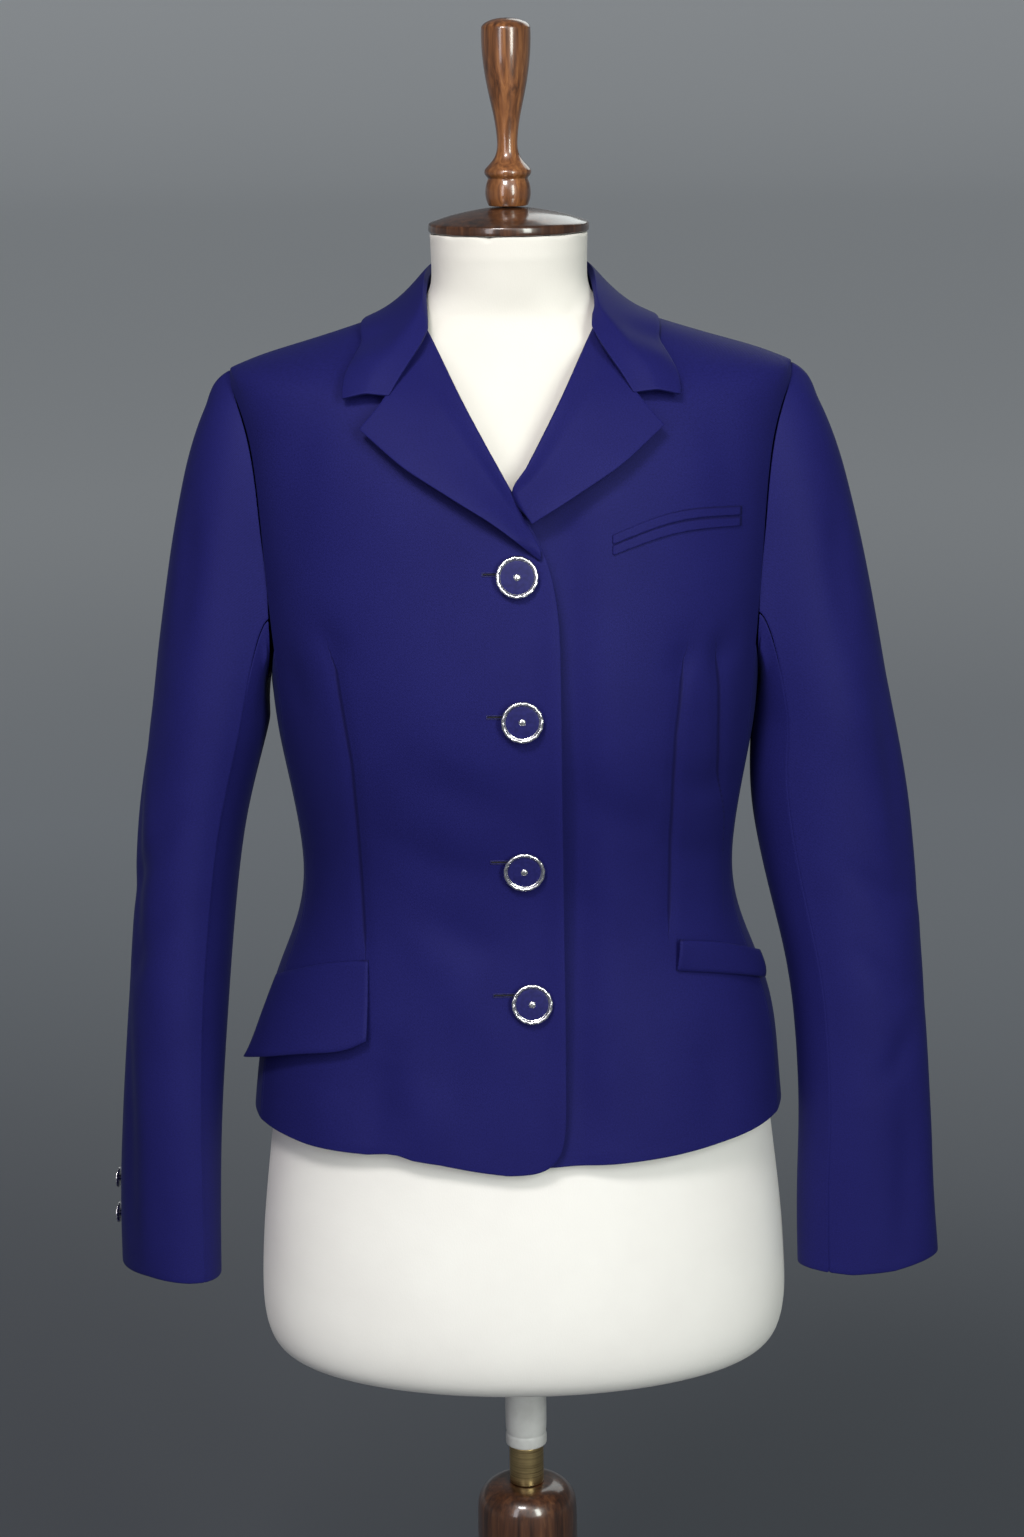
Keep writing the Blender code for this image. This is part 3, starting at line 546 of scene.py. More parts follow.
def press_body(piece, edge_strokes):
    """Push the strokes of the front and the back into one piece of the body."""
    points = points_of(piece)
    across, depth, height = points[:, 0] / MM, points[:, 1] / MM, points[:, 2] / MM
    ahead = smooth_share(-depth, *FRONT_AT)
    behind = smooth_share(depth, *FRONT_AT)
    push = FOLD_GAIN * sum(stroke_push(across, height, stroke) for stroke in FRONT_STROKES) * ahead
    push += FOLD_GAIN * sum(stroke_push(across, height, stroke) for stroke in BACK_STROKES) * behind
    for stroke in edge_strokes:
        push += stroke_push(across, height, stroke) * ahead
    for line in DARTS:
        groove = DART_HOLLOW * bell(across, line_across(line, height), DART_HOLLOW_WIDTH)
        push += groove * line_strength(line, height) * (ahead if line.face == "front" else behind)
    points[:, :2] -= outward_of(points) * push[:, None] * MM
    set_points(piece, points)
    return np.abs(push).max()


# %% [markdown]
# ## Darts and inner seams
# Two long darts shape each front, from under the bust down to the pockets, and the back has
# one on each side. A second line beside the left dart is the seam of the side-front panel.
# Each is a nearly upright line, so it is kept as a table of places across at a few heights,
# and the distance to it is simply a difference across.

# %% Dart lines
Dart = namedtuple("Dart", "face low high heights across")
DARTS = [
    Dart("front", 960, 1203, [979, 1016, 1072, 1112, 1175, 1203], [-104, -105, -107, -109, -118, -128]),
    Dart("front", 972, 1196, [991, 1074, 1129, 1178, 1196], [101, 103, 105, 111, 115]),
    Dart("front", 1068, 1200, [1060, 1098, 1159, 1195], [140, 135, 135, 133]),
    Dart("back", 900, 1190, [900, 1010, 1100, 1190], [-78, -72, -74, -80]),
    Dart("back", 900, 1190, [900, 1010, 1100, 1190], [78, 72, 74, 80]),
]
DART_FADE = 34.0        # the line fades out over this length at each end
DART_TAPER = 4.0        # where it is gone it counts as this much further away


def line_across(line, height):
    return np.interp(height, line.heights, line.across)


def line_strength(line, height):
    return smooth_share(height, line.low, line.low + DART_FADE) * (
        1 - smooth_share(height, line.high - DART_FADE, line.high))


def mark_darts(piece, lines):
    """Write up to two lines of the table on a panel, both under one strength."""
    points = points_of(piece)
    across, height = points[:, 0] / MM, points[:, 2] / MM
    distances = [across - line_across(line, height) for line in lines]
    distances += [np.full(len(points), UNSEWN)] * (2 - len(lines))
    for index, line in enumerate(lines):
        gone = 1 - line_strength(line, height)
        distances[index] += np.sign(distances[index]) * gone * DART_TAPER
    strength = np.max([line_strength(line, height) for line in lines], axis=0)
    set_stitch(piece, distances[0], distances[1], strength)


# The dart lines carry the valley and its painted shade in the cloth material.
mark_darts(cloth["front_right"], DARTS[0:1])
mark_darts(cloth["front_left"], DARTS[1:3])
mark_darts(cloth["back_right"], DARTS[3:4])
mark_darts(cloth["back_left"], DARTS[4:5])
for node in PANELS + SMALL_CLOTH:
    print(node, "pushed by up to", round(press_body(cloth[node], EDGE_STROKES.get(node, ())), 1), "mm")

# %% [markdown]
# ## Lifted edges
# A lapel is only held at its roll line. Toward its outer edge it stands a little off the
# front, most of all low down where it begins to roll, and the collar's front corners lift in
# the same way. That gap is what draws the soft shadow under both. The amount grows from the
# roll line to the edge, so the share across comes from the distances to those two lines. Along
# the roll itself the lapel is bent back toward the front, as folded cloth is. Everything is
# lifted straight forward, so that both edges keep their outline when seen from the front.

# %% Lifted edges
LAPEL_ROLL = [(54, 1388), (37, 1357), (17, 1321), (1, 1292), (-18, 1257)]
LAPEL_EDGE = [(98, 1330), (69, 1306), (33, 1284), (9, 1269), (-17, 1249)]
LAPEL_LIFTS = ([0, 0.15, 0.4, 0.75, 0.92, 1],          # shares of the way down the roll
               [6.0, 8.5, 12.0, 13.0, 8.0, 0.5])       # and the lift of the outer edge there
LAPEL_RISE_AT = (0.05, 1.15)    # shares of the way across, from no lift to full lift
LIFT_RISE = 0.22        # what is lifted off the front also rises by this share
CROSSING = 1300         # below this height the lapels reach past the middle of the body
ROLL_CLOSING = 3.0      # the rolled edge lies this much closer to the front
ROLL_WIDTH = 0.25       # over this share of the way across
ROLL_FADE = (1275, 1300)
GORGE = [(79, 1353), (68, 1371), (53, 1390)]
COLLAR_LIFT, COLLAR_LIFT_WIDTH = 5.5, 28.0
COLLAR_FRONT = (30, 62)         # how far forward the collar begins to lift
COLLAR_TOP = (1372, 1394)       # and between which heights the lift ends
COLLAR_EDGE_FILL = 5.5          # the collar's outer edge is let out here, over the shoulder
COLLAR_EDGE_HEIGHT, COLLAR_EDGE_REACH = 1382.0, 13.0
COLLAR_EDGE_FROM = (78, 96)


def lift_lapel(piece):
    points = points_of(piece)
    across, height = points[:, 0] / MM, points[:, 2] / MM
    across = np.where(height < CROSSING, across * np.sign(across.mean()), np.abs(across))
    from_roll, down = near_path(across, height, LAPEL_ROLL)
    from_edge, _ = near_path(across, height, LAPEL_EDGE)
    share = from_roll / np.maximum(from_roll + from_edge, 0.01)
    lift = np.interp(down, *LAPEL_LIFTS) * smooth_share(share, *LAPEL_RISE_AT)
    points[:, 2] += lift * LIFT_RISE * MM
    lift -= ROLL_CLOSING * (1 - smooth_share(share, 0.0, ROLL_WIDTH)) * smooth_share(height, *ROLL_FADE)
    points[:, 1] -= lift * MM
    set_points(piece, points)
    return lift.max()


def lift_collar(piece):
    points = points_of(piece)
    across, height = np.abs(points[:, 0]) / MM, points[:, 2] / MM
    away, _ = near_path(across, height, GORGE)
    front = smooth_share(-points[:, 1] / MM, *COLLAR_FRONT) * (1 - smooth_share(height, *COLLAR_TOP))
    lift = COLLAR_LIFT * smooth_share(away, 0, COLLAR_LIFT_WIDTH) * front
    points[:, 1] -= lift * MM
    points[:, 2] += lift * LIFT_RISE * MM
    beside = bell(height, COLLAR_EDGE_HEIGHT, COLLAR_EDGE_REACH) * smooth_share(across, *COLLAR_EDGE_FROM)
    points[:, 0] += np.sign(points[:, 0]) * COLLAR_EDGE_FILL * beside * MM
    set_points(piece, points)
    return lift.max()


for node in ("lapel_right", "lapel_left"):
    print(node, "lifted by up to", round(lift_lapel(cloth[node]), 1), "mm")
print("collar lifted by up to", round(lift_collar(cloth["collar"]), 1), "mm")

# %% [markdown]
# ## Small shifts
# The last touches to the body are local. The right front's hem wanders up and down by a few
# millimetres. A nudge moves the cloth near one spot and fades away over a reach: it closes a
# chink at each armhole, slims the left side at the hem, and brings the end of the left lapel
# under the right one. That end is also tucked back, so that its cut edge doesn't show.

# %% Small shifts
HEM_WANDER = ([-150, -105, -92, -84, -74, -56, -34, -10, 40],      # places across the right front
              [0, 3.0, 5.7, 6.0, 3.6, 2.4, -1.2, -4.3, -4.0])      # and the rise of its hem there
HEM_FADE = (838, 915)
Nudge = namedtuple("Nudge", "node spot reach move")
HEM_SIDE = ((172, -10, 842), 62, (-4.5, 0, 0))
NUDGES = [
    Nudge("sleeve_top_right", (-165.5, -47, 1227), 20, (1.2, 0, 0)),
    Nudge("sleeve_top_left", (165.5, -47, 1225), 20, (-1.2, 0, 0)),
    Nudge("lapel_left", (6, -112, 1286), 14, (-9, 0, -1)),
]
NUDGES += [Nudge(node, *HEM_SIDE) for node in ("front_left", "side_left", "back_left", "hip_welt_left")]
RIGHT_ROLL = ([1257, 1277, 1292, 1305], [18, 7.5, 0, -7])          # heights, and the roll's place across
TUCK, TUCK_FADE = 4.5, (-2.5, 3)

points = points_of(cloth["front_right"])
near_hem = 1 - smooth_share(points[:, 2] / MM, *HEM_FADE)
points[:, 2] += np.interp(points[:, 0] / MM, *HEM_WANDER) * near_hem * MM
set_points(cloth["front_right"], points)

for nudge in NUDGES:
    points = points_of(cloth[nudge.node])
    away = np.linalg.norm(points / MM - np.array(nudge.spot), axis=1)
    points += bell(away, 0, nudge.reach)[:, None] * np.array(nudge.move) * MM
    set_points(cloth[nudge.node], points)

points = points_of(cloth["lapel_left"])
past_roll = np.interp(points[:, 2] / MM, *RIGHT_ROLL) - points[:, 0] / MM
points[:, 1] += smooth_share(past_roll, *TUCK_FADE) * TUCK * MM
set_points(cloth["lapel_left"], points)
print("nudges made:", len(NUDGES))

# %% [markdown]
# ## Pockets
# A pocket piece is sewn on along its upper edge, so a stitched valley runs there, with a
# painted shade along it. Both edges are found by looking for the highest and the lowest point
# at a few steps across the piece. The hip flap stands off at its bottom, and the welt, whose
# flap is tucked in, at its top. The two narrow strips of the breast pocket are pressed flat and
# arch up a little in the middle, and they show the same valley and painted shade at their
# outer end as well.

# %% Pockets
PocketLift = namedtuple("PocketLift", "node top bottom")      # millimetres off the front
POCKET_LIFTS = [PocketLift("hip_flap_right", -0.2, 3.2), PocketLift("hip_welt_left", 4.2, -0.6)]
JETS = ("chest_jet_upper", "chest_jet_lower")
JET_PRESS, JET_ARCH = 0.7, 3.0


def share_across(points):
    low, high = points[:, 0].min(), points[:, 0].max()
    return (points[:, 0] - low) / (high - low), (high - low) / MM


def edge_heights(points, share, pick, count, reach):
    """The height of the upper or lower edge at every point, from a few steps across."""
    steps = np.linspace(0, 1, count)
    return np.interp(share, steps, [pick(points[np.abs(share - step) < reach, 2]) for step in steps])


for node in JETS:
    points = points_of(cloth[node])
    share, width = share_across(points)
    below_top = (edge_heights(points, share, np.max, 13, 0.06) - points[:, 2]) / MM
    # a painted shade line along the top edge and at the outer end
    set_stitch(cloth[node], below_top, (1 - share) * width, np.ones(len(points)))
    points[:, 2] += JET_ARCH * np.sin(math.pi * share) * MM
    points[:, :2] -= outward_of(points) * JET_PRESS * MM
    set_points(cloth[node], points)

for pocket in POCKET_LIFTS:
    points = points_of(cloth[pocket.node])
    share, _ = share_across(points)
    tops = edge_heights(points, share, np.max, 11, 0.08)
    lows = edge_heights(points, share, np.min, 11, 0.08)
    below_top = (tops - points[:, 2]) / MM
    # a painted shade line along the top edge
    set_stitch(cloth[pocket.node], below_top, np.full(len(points), UNSEWN), np.ones(len(points)))
    down = (tops - points[:, 2]) / (tops - lows)
    lift = pocket.top + (pocket.bottom - pocket.top) * down ** 2
    points[:, :2] += outward_of(points) * lift[:, None] * MM
    set_points(cloth[pocket.node], points)
print("pocket pieces shaped:", len(JETS) + len(POCKET_LIFTS))

# %% [markdown]
# ## Folds in the sleeves
# A sleeve that hangs on no arm keeps the bend it was pressed with: long shallow folds run
# down it, and a few short ones cross the elbow at a slant. Here a stroke's place across is
# the distance round the sleeve from its outer side, forwards positive. After the folds each
# sleeve gets its fit. Its two halves grow round the arm by a hair, which closes the seams
# between them, the inner side is moved to where the photograph shows it, and the edge of the
# cuff rises and falls a little.

# %% Fold strokes on the sleeves
SLEEVE_STROKES = {
    RIGHT: [
        Stroke(1.8, 13, [(-6, 1150), (14, 1060), (36, 960)]),
        Stroke(-1.4, 13, [(26, 1120), (44, 1040), (52, 950)]),
        Stroke(2.0, 11, [(66, 1062), (36, 1024), (8, 1008)]),
        Stroke(1.7, 10, [(64, 990), (38, 960), (18, 950)]),
        Stroke(1.6, 14, [(20, 920), (28, 850), (24, 770)]),
        Stroke(-1.5, 14, [(48, 900), (54, 830), (50, 750)]),
        Stroke(1.7, 12, [(-60, 1030), (-30, 1006), (-6, 1000)]),
        Stroke(1.5, 12, [(-64, 960), (-36, 940), (-10, 936)]),
        Stroke(1.6, 14, [(-44, 900), (-50, 830), (-44, 760)]),
        Stroke(1.5, 12, [(30, 1290), (46, 1240), (52, 1180)]),
    ],
    LEFT: [
        Stroke(1.7, 13, [(40, 1170), (28, 1090), (22, 1010)]),
        Stroke(-1.3, 13, [(10, 1130), (2, 1050), (6, 980)]),
        Stroke(2.1, 10, [(66, 1018), (42, 1000), (16, 992)]),
        Stroke(1.8, 10, [(68, 958), (42, 934), (22, 928)]),
        Stroke(1.5, 12, [(30, 905), (46, 880), (64, 868)]),
        Stroke(1.7, 15, [(40, 880), (36, 810), (42, 748)]),
        Stroke(-1.4, 14, [(14, 890), (10, 820), (14, 750)]),
        Stroke(1.7, 12, [(-60, 1010), (-32, 992), (-8, 990)]),
        Stroke(1.4, 12, [(-62, 930), (-38, 918), (-12, 914)]),
        Stroke(1.5, 12, [(32, 1286), (48, 1236), (54, 1176)]),
    ],
}
SLEEVE_HEAD = (1230, 1330)      # the folds end between these heights


def press_sleeve(piece, side):
    points = points_of(piece)
    height = points[:, 2] / MM
    out = points[:, :2] / MM - sleeve_middle(side, height)
    turn = np.arctan2(-out[:, 1], side * out[:, 0])
    around = turn * SLEEVE_RADIUS / MM
    push = FOLD_GAIN * sum(stroke_push(around, height, stroke) for stroke in SLEEVE_STROKES[side])
    push *= 1 - smooth_share(height, *SLEEVE_HEAD)
    out /= np.linalg.norm(out, axis=1, keepdims=True)
    points[:, :2] -= out * push[:, None] * MM
    set_points(piece, points)
    return np.abs(push).max()


for node in SLEEVES:
    print(node, "pushed by up to", round(press_sleeve(cloth[node], side_of(node)), 1), "mm")

# %% Fit of the sleeves
# A sleeve is shifted toward the wearer's right below its elbow, and its inner side once more
# near one height. The cuff's rises belong to the places across of CUFF_PLACES.
Fit = namedtuple("Fit", "shift inner_shift inner_from inner_height inner_reach cuff_rise")
FITS = {
    RIGHT: Fit(0.0, 4.0, -0.6, 1010, 95, [2.0, 2.0, 3.3, 0]),
    LEFT: Fit(3.2, 6.0, -0.4, 1085, 75, [3.3, 0, 1.5, 7.6]),
}
CUFF_PLACES = [-1, -0.3, 0.3, 1]        # from the sleeve's inner side to its outer side
CUFF_FADE = (722, 790)
SHIFT_FADE = (1000, 1120)
INNER_SIDE = 0.9
SLEEVE_HALF_WIDTH = 50.0
SEAM_CLOSING = {"top": 0.006, "under": 0.012}      # each piece grows round the arm by this share
SEAM_FADE = (1130, 1190)


def fit_sleeve(piece, side):
    points = points_of(piece)
    height = points[:, 2] / MM
    middle = sleeve_middle(side, height)
    out = points[:, :2] / MM - middle
    reach = np.linalg.norm(out, axis=1)
    half = "under" if "under" in piece.name else "top"
    back = math.pi if half == "under" else 0.0
    turn = np.mod(np.arctan2(-out[:, 1], side * out[:, 0]) - back + math.pi, math.tau) - math.pi
    turn *= 1 + SEAM_CLOSING[half] * (1 - smooth_share(height, *SEAM_FADE))
    points[:, 0] = (middle[:, 0] + side * reach * np.cos(turn + back)) * MM
    points[:, 1] = (middle[:, 1] - reach * np.sin(turn + back)) * MM
    fit = FITS[side]
    outer = side * out[:, 0] / SLEEVE_HALF_WIDTH
    inner = smooth_share(-outer, fit.inner_from, INNER_SIDE)
    shift = fit.inner_shift * inner * bell(height, fit.inner_height, fit.inner_reach)
    shift += fit.shift * (1 - smooth_share(height, *SHIFT_FADE))
    points[:, 0] -= shift * MM
    rise = np.interp(outer, CUFF_PLACES, fit.cuff_rise)
    points[:, 2] += rise * (1 - smooth_share(height, *CUFF_FADE)) * MM
    set_points(piece, points)


for node in SLEEVES:
    fit_sleeve(cloth[node], side_of(node))
print("sleeves fitted:", len(SLEEVES))

# %% [markdown]
# ## The dress form
# Under the jacket is a padded bust without limbs, covered in smooth ivory jersey. The
# frame's loft already has the right sections, so a copy of it is rounded by Subdivision
# Surface. The padding flows without a step from the neck into the chest, so the points there
# are evened out by many rounds of smoothing that move them only forwards and backwards. Fine
# knit shows as a bump of tiny upright ribs, and a slow noise keeps the ivory from looking
# like plaster. The top gets a painted shade, a little darker, since the main lamp is so close to it.

# %% Dress form
FORM_RIM_ANGLE = math.radians(60)
FORM_RIM_CREASE = 0.5
THROAT_LOW, THROAT_HIGH = 1.345, 1.434      # heights in metres
THROAT_ROUNDS = 300
JERSEY_TONES = [(0.30, (0.780, 0.750, 0.715)), (0.72, (0.835, 0.810, 0.770))]
TOP_SHADE = (0.86, 0.85, 0.82, 1)           # the lit top gets this much painted shade
TOP_FADE = (1.10, 1.25)                     # between these heights, in metres


def jersey_material():
    material, tree, shader = new_material("ivory_jersey", 0.82)
    shader.inputs["Sheen Weight"].default_value = 0.12
    shader.inputs["Specular IOR Level"].default_value = 0.25
    place = object_place(tree)
    slow = add_noise(tree, place, 9.0)
    height = add_node(tree, "ShaderNodeSeparateXYZ", Vector=place).outputs["Z"]
    near_top = add_range(tree, height, TOP_FADE, (0.0, 1.0), "SMOOTHSTEP")
    # painted shade on the top, nearest the main lamp
    colour = mix_colours(tree, near_top, add_ramp(tree, slow, JERSEY_TONES), TOP_SHADE, "MULTIPLY")
    tree.links.new(colour, shader.inputs["Base Color"])
    fine = add_node(tree, "ShaderNodeMapping", Vector=place, Scale=(1.0, 1.0, 0.35)).outputs["Vector"]
    soft = add_bump(tree, shader, slow, 0.12, 0.004)
    add_bump(tree, shader, add_noise(tree, fine, 1400.0, 2.0), 0.30, 0.0003, soft)
    return material


def soften_throat(piece):
    """Even out the step where the neck meets the chest, forwards and backwards only."""
    bm = bmesh.new()
    bm.from_mesh(piece.data)
    front = [vert for vert in bm.verts if vert.co.y < 0 and THROAT_LOW < vert.co.z < THROAT_HIGH]
    for _ in range(THROAT_ROUNDS):
        bmesh.ops.smooth_vert(bm, verts=front, factor=0.5, use_axis_y=True)
    bm.to_mesh(piece.data)
    bm.free()
    return len(front)


form = smooth_copy("fine_torso_form", "torso_form", jersey_material(), 3, FORM_RIM_CREASE, FORM_RIM_ANGLE)
print("points softened at the throat:", soften_throat(form))
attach(form, "root")
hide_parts("torso_form")
print("dress form faces:", len(form.data.polygons))

# %% [markdown]
# ## The turned wood
# The finial, the cap on the neck, the column and the base are turned from one dark,
# reddish hardwood under clear varnish. Turned work is what Spin is for: half a section goes
# round the axis once. The sections are short lists of radius and height with a doubled point
# wherever the real one has a crisp edge, and Subdivision Surface rounds the rest.

# %% Wood
Tones = namedtuple("Tones", "dark middle light")
COLUMN_TONES = Tones((0.028, 0.0100, 0.0045), (0.082, 0.0300, 0.0125), (0.170, 0.070, 0.0290))
FINIAL_TONES = Tones((0.055, 0.0180, 0.0060), (0.200, 0.0720, 0.0230), (0.370, 0.155, 0.0520))
SPIN_MERGE = 0.000005       # the points that a spin leaves on its axis are merged


def wood_material(name, tones):
    material, tree, shader = new_material(name, 0.30)
    shader.inputs["Coat Weight"].default_value = 0.85
    shader.inputs["Coat Roughness"].default_value = 0.10
    along = add_node(tree, "ShaderNodeMapping", Vector=object_place(tree), Scale=(1.0, 1.0, 0.055))
    grain = add_noise(tree, along.outputs["Vector"], 260.0, 6.0, 0.62, Distortion=0.6)
    bands = add_noise(tree, along.outputs["Vector"], 42.0, 3.0, 0.5)
    colour = add_ramp(tree, grain, [(0.32, tones.dark), (0.52, tones.middle), (0.74, tones.light)])
    deep = add_ramp(tree, bands, [(0.32, (0.42, 0.40, 0.38)), (0.66, (1.0, 1.0, 1.0))])
    tree.links.new(mix_colours(tree, 1.0, colour, deep, "MULTIPLY"), shader.inputs["Base Color"])
    add_bump(tree, shader, grain, 0.10, 0.0004)
    return material


def spin_section(bm, section, steps):
    """Spin (radius, height) pairs a full turn round the upright axis."""
    points = [bm.verts.new((radius, 0, height)) for radius, height in section]
    edges = [bm.edges.new(pair) for pair in zip(points, points[1:])]
    bmesh.ops.spin(bm, geom=points + edges, cent=(0, 0, 0), axis=(0, 0, 1), angle=math.tau, steps=steps,
                   use_merge=True)


def turned(name, node, section, material, slot, steps=32):
    """Spin a section of (radius, height) pairs in mm round the node's own upright axis."""
    low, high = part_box(node)
    middle = Vector(((low[0] + high[0]) / 2, (low[1] + high[1]) / 2, low[2]))
    bm = bmesh.new()
    spin_section(bm, [(radius * MM, height * MM) for radius, height in section], steps)
    bmesh.ops.remove_doubles(bm, verts=bm.verts, dist=SPIN_MERGE)
    bmesh.ops.translate(bm, vec=middle, verts=bm.verts)
    bmesh.ops.recalc_face_normals(bm, faces=bm.faces)
    piece = rounded(mesh_object(name, bm, material), 2)
    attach(piece, "root")
    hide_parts(node)


FINIAL = [(0, 0), (13, 0), (13.2, 0.3), (14.8, 4), (15.4, 8), (15.2, 13), (13.6, 17), (13.4, 18),
          (13.6, 18.6), (15.6, 20.6), (15.9, 22.6), (15.2, 24.4), (11.4, 28), (8.3, 32), (6.9, 37),
          (6.7, 43), (8.2, 56), (11.0, 68), (13.6, 80), (15.6, 93), (16.6, 106), (16.5, 115.2), (16.2, 116.2), (14.6, 118.6),
          (8, 121.4), (0, 122)]
NECK_CAP = [(0, 0), (52.6, 0), (53.6, 0.4), (54, 1.6), (54, 5), (53.4, 6.2), (51.6, 6.9), (44, 9.4),
            (38, 11.3), (20, 15), (8, 16.3), (0, 16.5)]
COLUMN = [(0, 0), (49, 0), (50.4, 0.6), (52, 5), (50, 11.5), (43, 18), (38.5, 29), (36.6, 46), (36.5, 60),
          (36.5, 260), (36.5, 470), (36.5, 500), (35.6, 507), (33, 512.6), (28, 517.4), (22, 519.3),
          (17, 519.7), (0, 519.7)]
BASE = [(0, 0), (186, 0), (189.2, 0.8), (190, 3.4), (190, 15), (188.6, 18.6), (184, 22), (181, 22.8),
        (178, 24.6), (158, 27.6), (130, 30), (60, 30), (0, 30)]
wood = wood_material("varnished_wood", COLUMN_TONES)
pale_wood = wood_material("varnished_pale_wood", FINIAL_TONES)
turned("finial_turned", "finial", FINIAL, pale_wood, "dark_wood")
turned("neck_cap_turned", "neck_cap", NECK_CAP, wood, "dark_wood", 40)
turned("column_turned", "column", COLUMN, wood, "dark_wood", 40)
turned("base_turned", "base", BASE, wood, "dark_wood", 48)

# %% [markdown]
# ## The post
# The form is carried by a dull metal tube that slides in the column, with a white plastic
# socket at the top. The socket is moulded, so its ends are slightly rounded and it has a
# shallow groove near each end where it clamps. The tube has the yellow-brown tone of old
# lacquered steel and is brushed round its axis: a noise stretched along the circumference
# gives the roughness fine level rings.

# %% Post
def plastic_material():
    material, tree, shader = new_material("white_plastic", 0.42)
    scuff = add_noise(tree, object_place(tree), 60.0)
    colour = add_ramp(tree, scuff, [(0.35, (0.56, 0.55, 0.53)), (0.65, (0.66, 0.65, 0.63))])
    tree.links.new(colour, shader.inputs["Base Color"])
    add_bump(tree, shader, scuff, 0.08, 0.0004)
    return material


def steel_material():
    material, tree, shader = new_material("brushed_post_steel", 0.34, 1.0)
    rings = add_node(tree, "ShaderNodeMapping", Vector=object_place(tree), Scale=(0.02, 0.02, 1.0))
    brush = add_noise(tree, rings.outputs["Vector"], 1600.0, 3.0)
    colour = add_ramp(tree, brush, [(0.35, (0.44, 0.305, 0.135)), (0.65, (0.66, 0.490, 0.230))])
    tree.links.new(colour, shader.inputs["Base Color"])
    tree.links.new(add_range(tree, brush, (0.3, 0.7), (0.26, 0.44)), shader.inputs["Roughness"])
    add_bump(tree, shader, brush, 0.06, 0.0002)
    return material


SOCKET = [(0, 0), (13.6, 0), (14.6, 0.4), (15, 1.4), (15, 8), (14.3, 8.8), (14.3, 10.2), (15, 11), (15, 40),
          (15, 66), (14.3, 67), (14.3, 69), (15, 70), (15, 73.2), (14.6, 74.3), (13.6, 74.7), (0, 74.7)]
TUBE = [(0, 0), (11.8, 0), (12.3, 0.3), (12.5, 1), (12.5, 28.4), (12.3, 29.1), (11.8, 29.4), (0, 29.4)]
turned("post_socket", "post_sleeve", SOCKET, plastic_material(), "post_plastic")
turned("post_tube", "post", TUBE, steel_material(), "post_steel")

# %% [markdown]
# ## Buttons
# Four large buttons close the front and two small ones trim each cuff. Each is a dish of
# silvery metal with a rope-like, slightly uneven rim round a disc of the jacket's own blue,
# and a plain small stud in the middle. The dish, the disc and the stud are spun sections. The
# rim is a ring whose thickness is varied by two waves, so that it glints like hammered wire.
# The sections are in shares of the button's radius, so large and small ones share them. Where
# a button sits, and which way it faces, is read from its node in the frame.

# %% Button finishes
def silver_material():
    material, tree, shader = new_material("silver_metal", 0.20, 1.0)
    shader.inputs["Base Color"].default_value = (0.86, 0.84, 0.85, 1)
    dents = add_noise(tree, object_place(tree), 900.0, 3.0)
    tree.links.new(add_range(tree, dents, (0.3, 0.7), (0.12, 0.34)), shader.inputs["Roughness"])
    add_bump(tree, shader, dents, 0.35, 0.0004)
    return material


def disc_material():
    material, tree, shader = new_material("blue_disc", 0.50)
    shader.inputs["Specular IOR Level"].default_value = 0.22
    cloud = add_noise(tree, object_place(tree), 420.0)
    colour = add_ramp(tree, cloud, [(0.35, (0.009, 0.0085, 0.075)), (0.68, (0.015, 0.0145, 0.110))])
    tree.links.new(colour, shader.inputs["Base Color"])
    add_bump(tree, shader, cloud, 0.12, 0.0003)
    return material


silver, blue_disc = silver_material(), disc_material()
print("button finishes:", silver.name, "and", blue_disc.name)

# %% Buttons
SHANK = 1.6 * MM        # how far the dish stands off the cloth
DISH = [(0, 0), (0.22, 0), (0.24, 0.02), (0.24, 1), (0.50, 1.02), (0.80, 1.1)]
BOWL = [(0.93, 0.09), (0.975, 0.16), (0.93, 0.20), (0.80, 0.17), (0.78, 0.09), (0, 0.07)]
STUD = [(0, 0.14), (0.155, 0.14), (0.185, 0.170), (0.16, 0.21), (0.10, 0.242), (0, 0.250)]
DISC = [(0, 0.08), (0.775, 0.10), (0.79, 0.125), (0.77, 0.15), (0.70, 0.158), (0.45, 0.172), (0, 0.18)]
BUTTON_STEPS, STUD_STEPS, RIM_STEPS = 36, 16, 72
BODY_MIDDLE = Vector((0, 0, 1.1))       # the buttons face away from these two spots
CUFF_MIDDLE = Vector((0.249, -0.018, 0.76))


def seat_of(node, away_from):
    """Where a button sits and which way it faces: a matrix from its own frame to the scene."""
    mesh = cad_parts[node].data
    points = np.array([vertex.co[:] for vertex in mesh.vertices])
    middle = points.mean(axis=0)
    facing = Vector(np.linalg.svd(points - middle, full_matrices=False)[2][2])
    if facing.dot(Vector(middle) - Vector(away_from)) < 0:
        facing.negate()
    heights = (points - middle) @ np.array(facing)
    centre = Vector(middle) + facing * heights.min()
    radius = np.linalg.norm(np.cross(points - middle, np.array(facing)), axis=1).max()
    turn = facing.to_track_quat("Z", "Y").to_matrix().to_4x4()
    return Matrix.Translation(centre) @ turn, radius


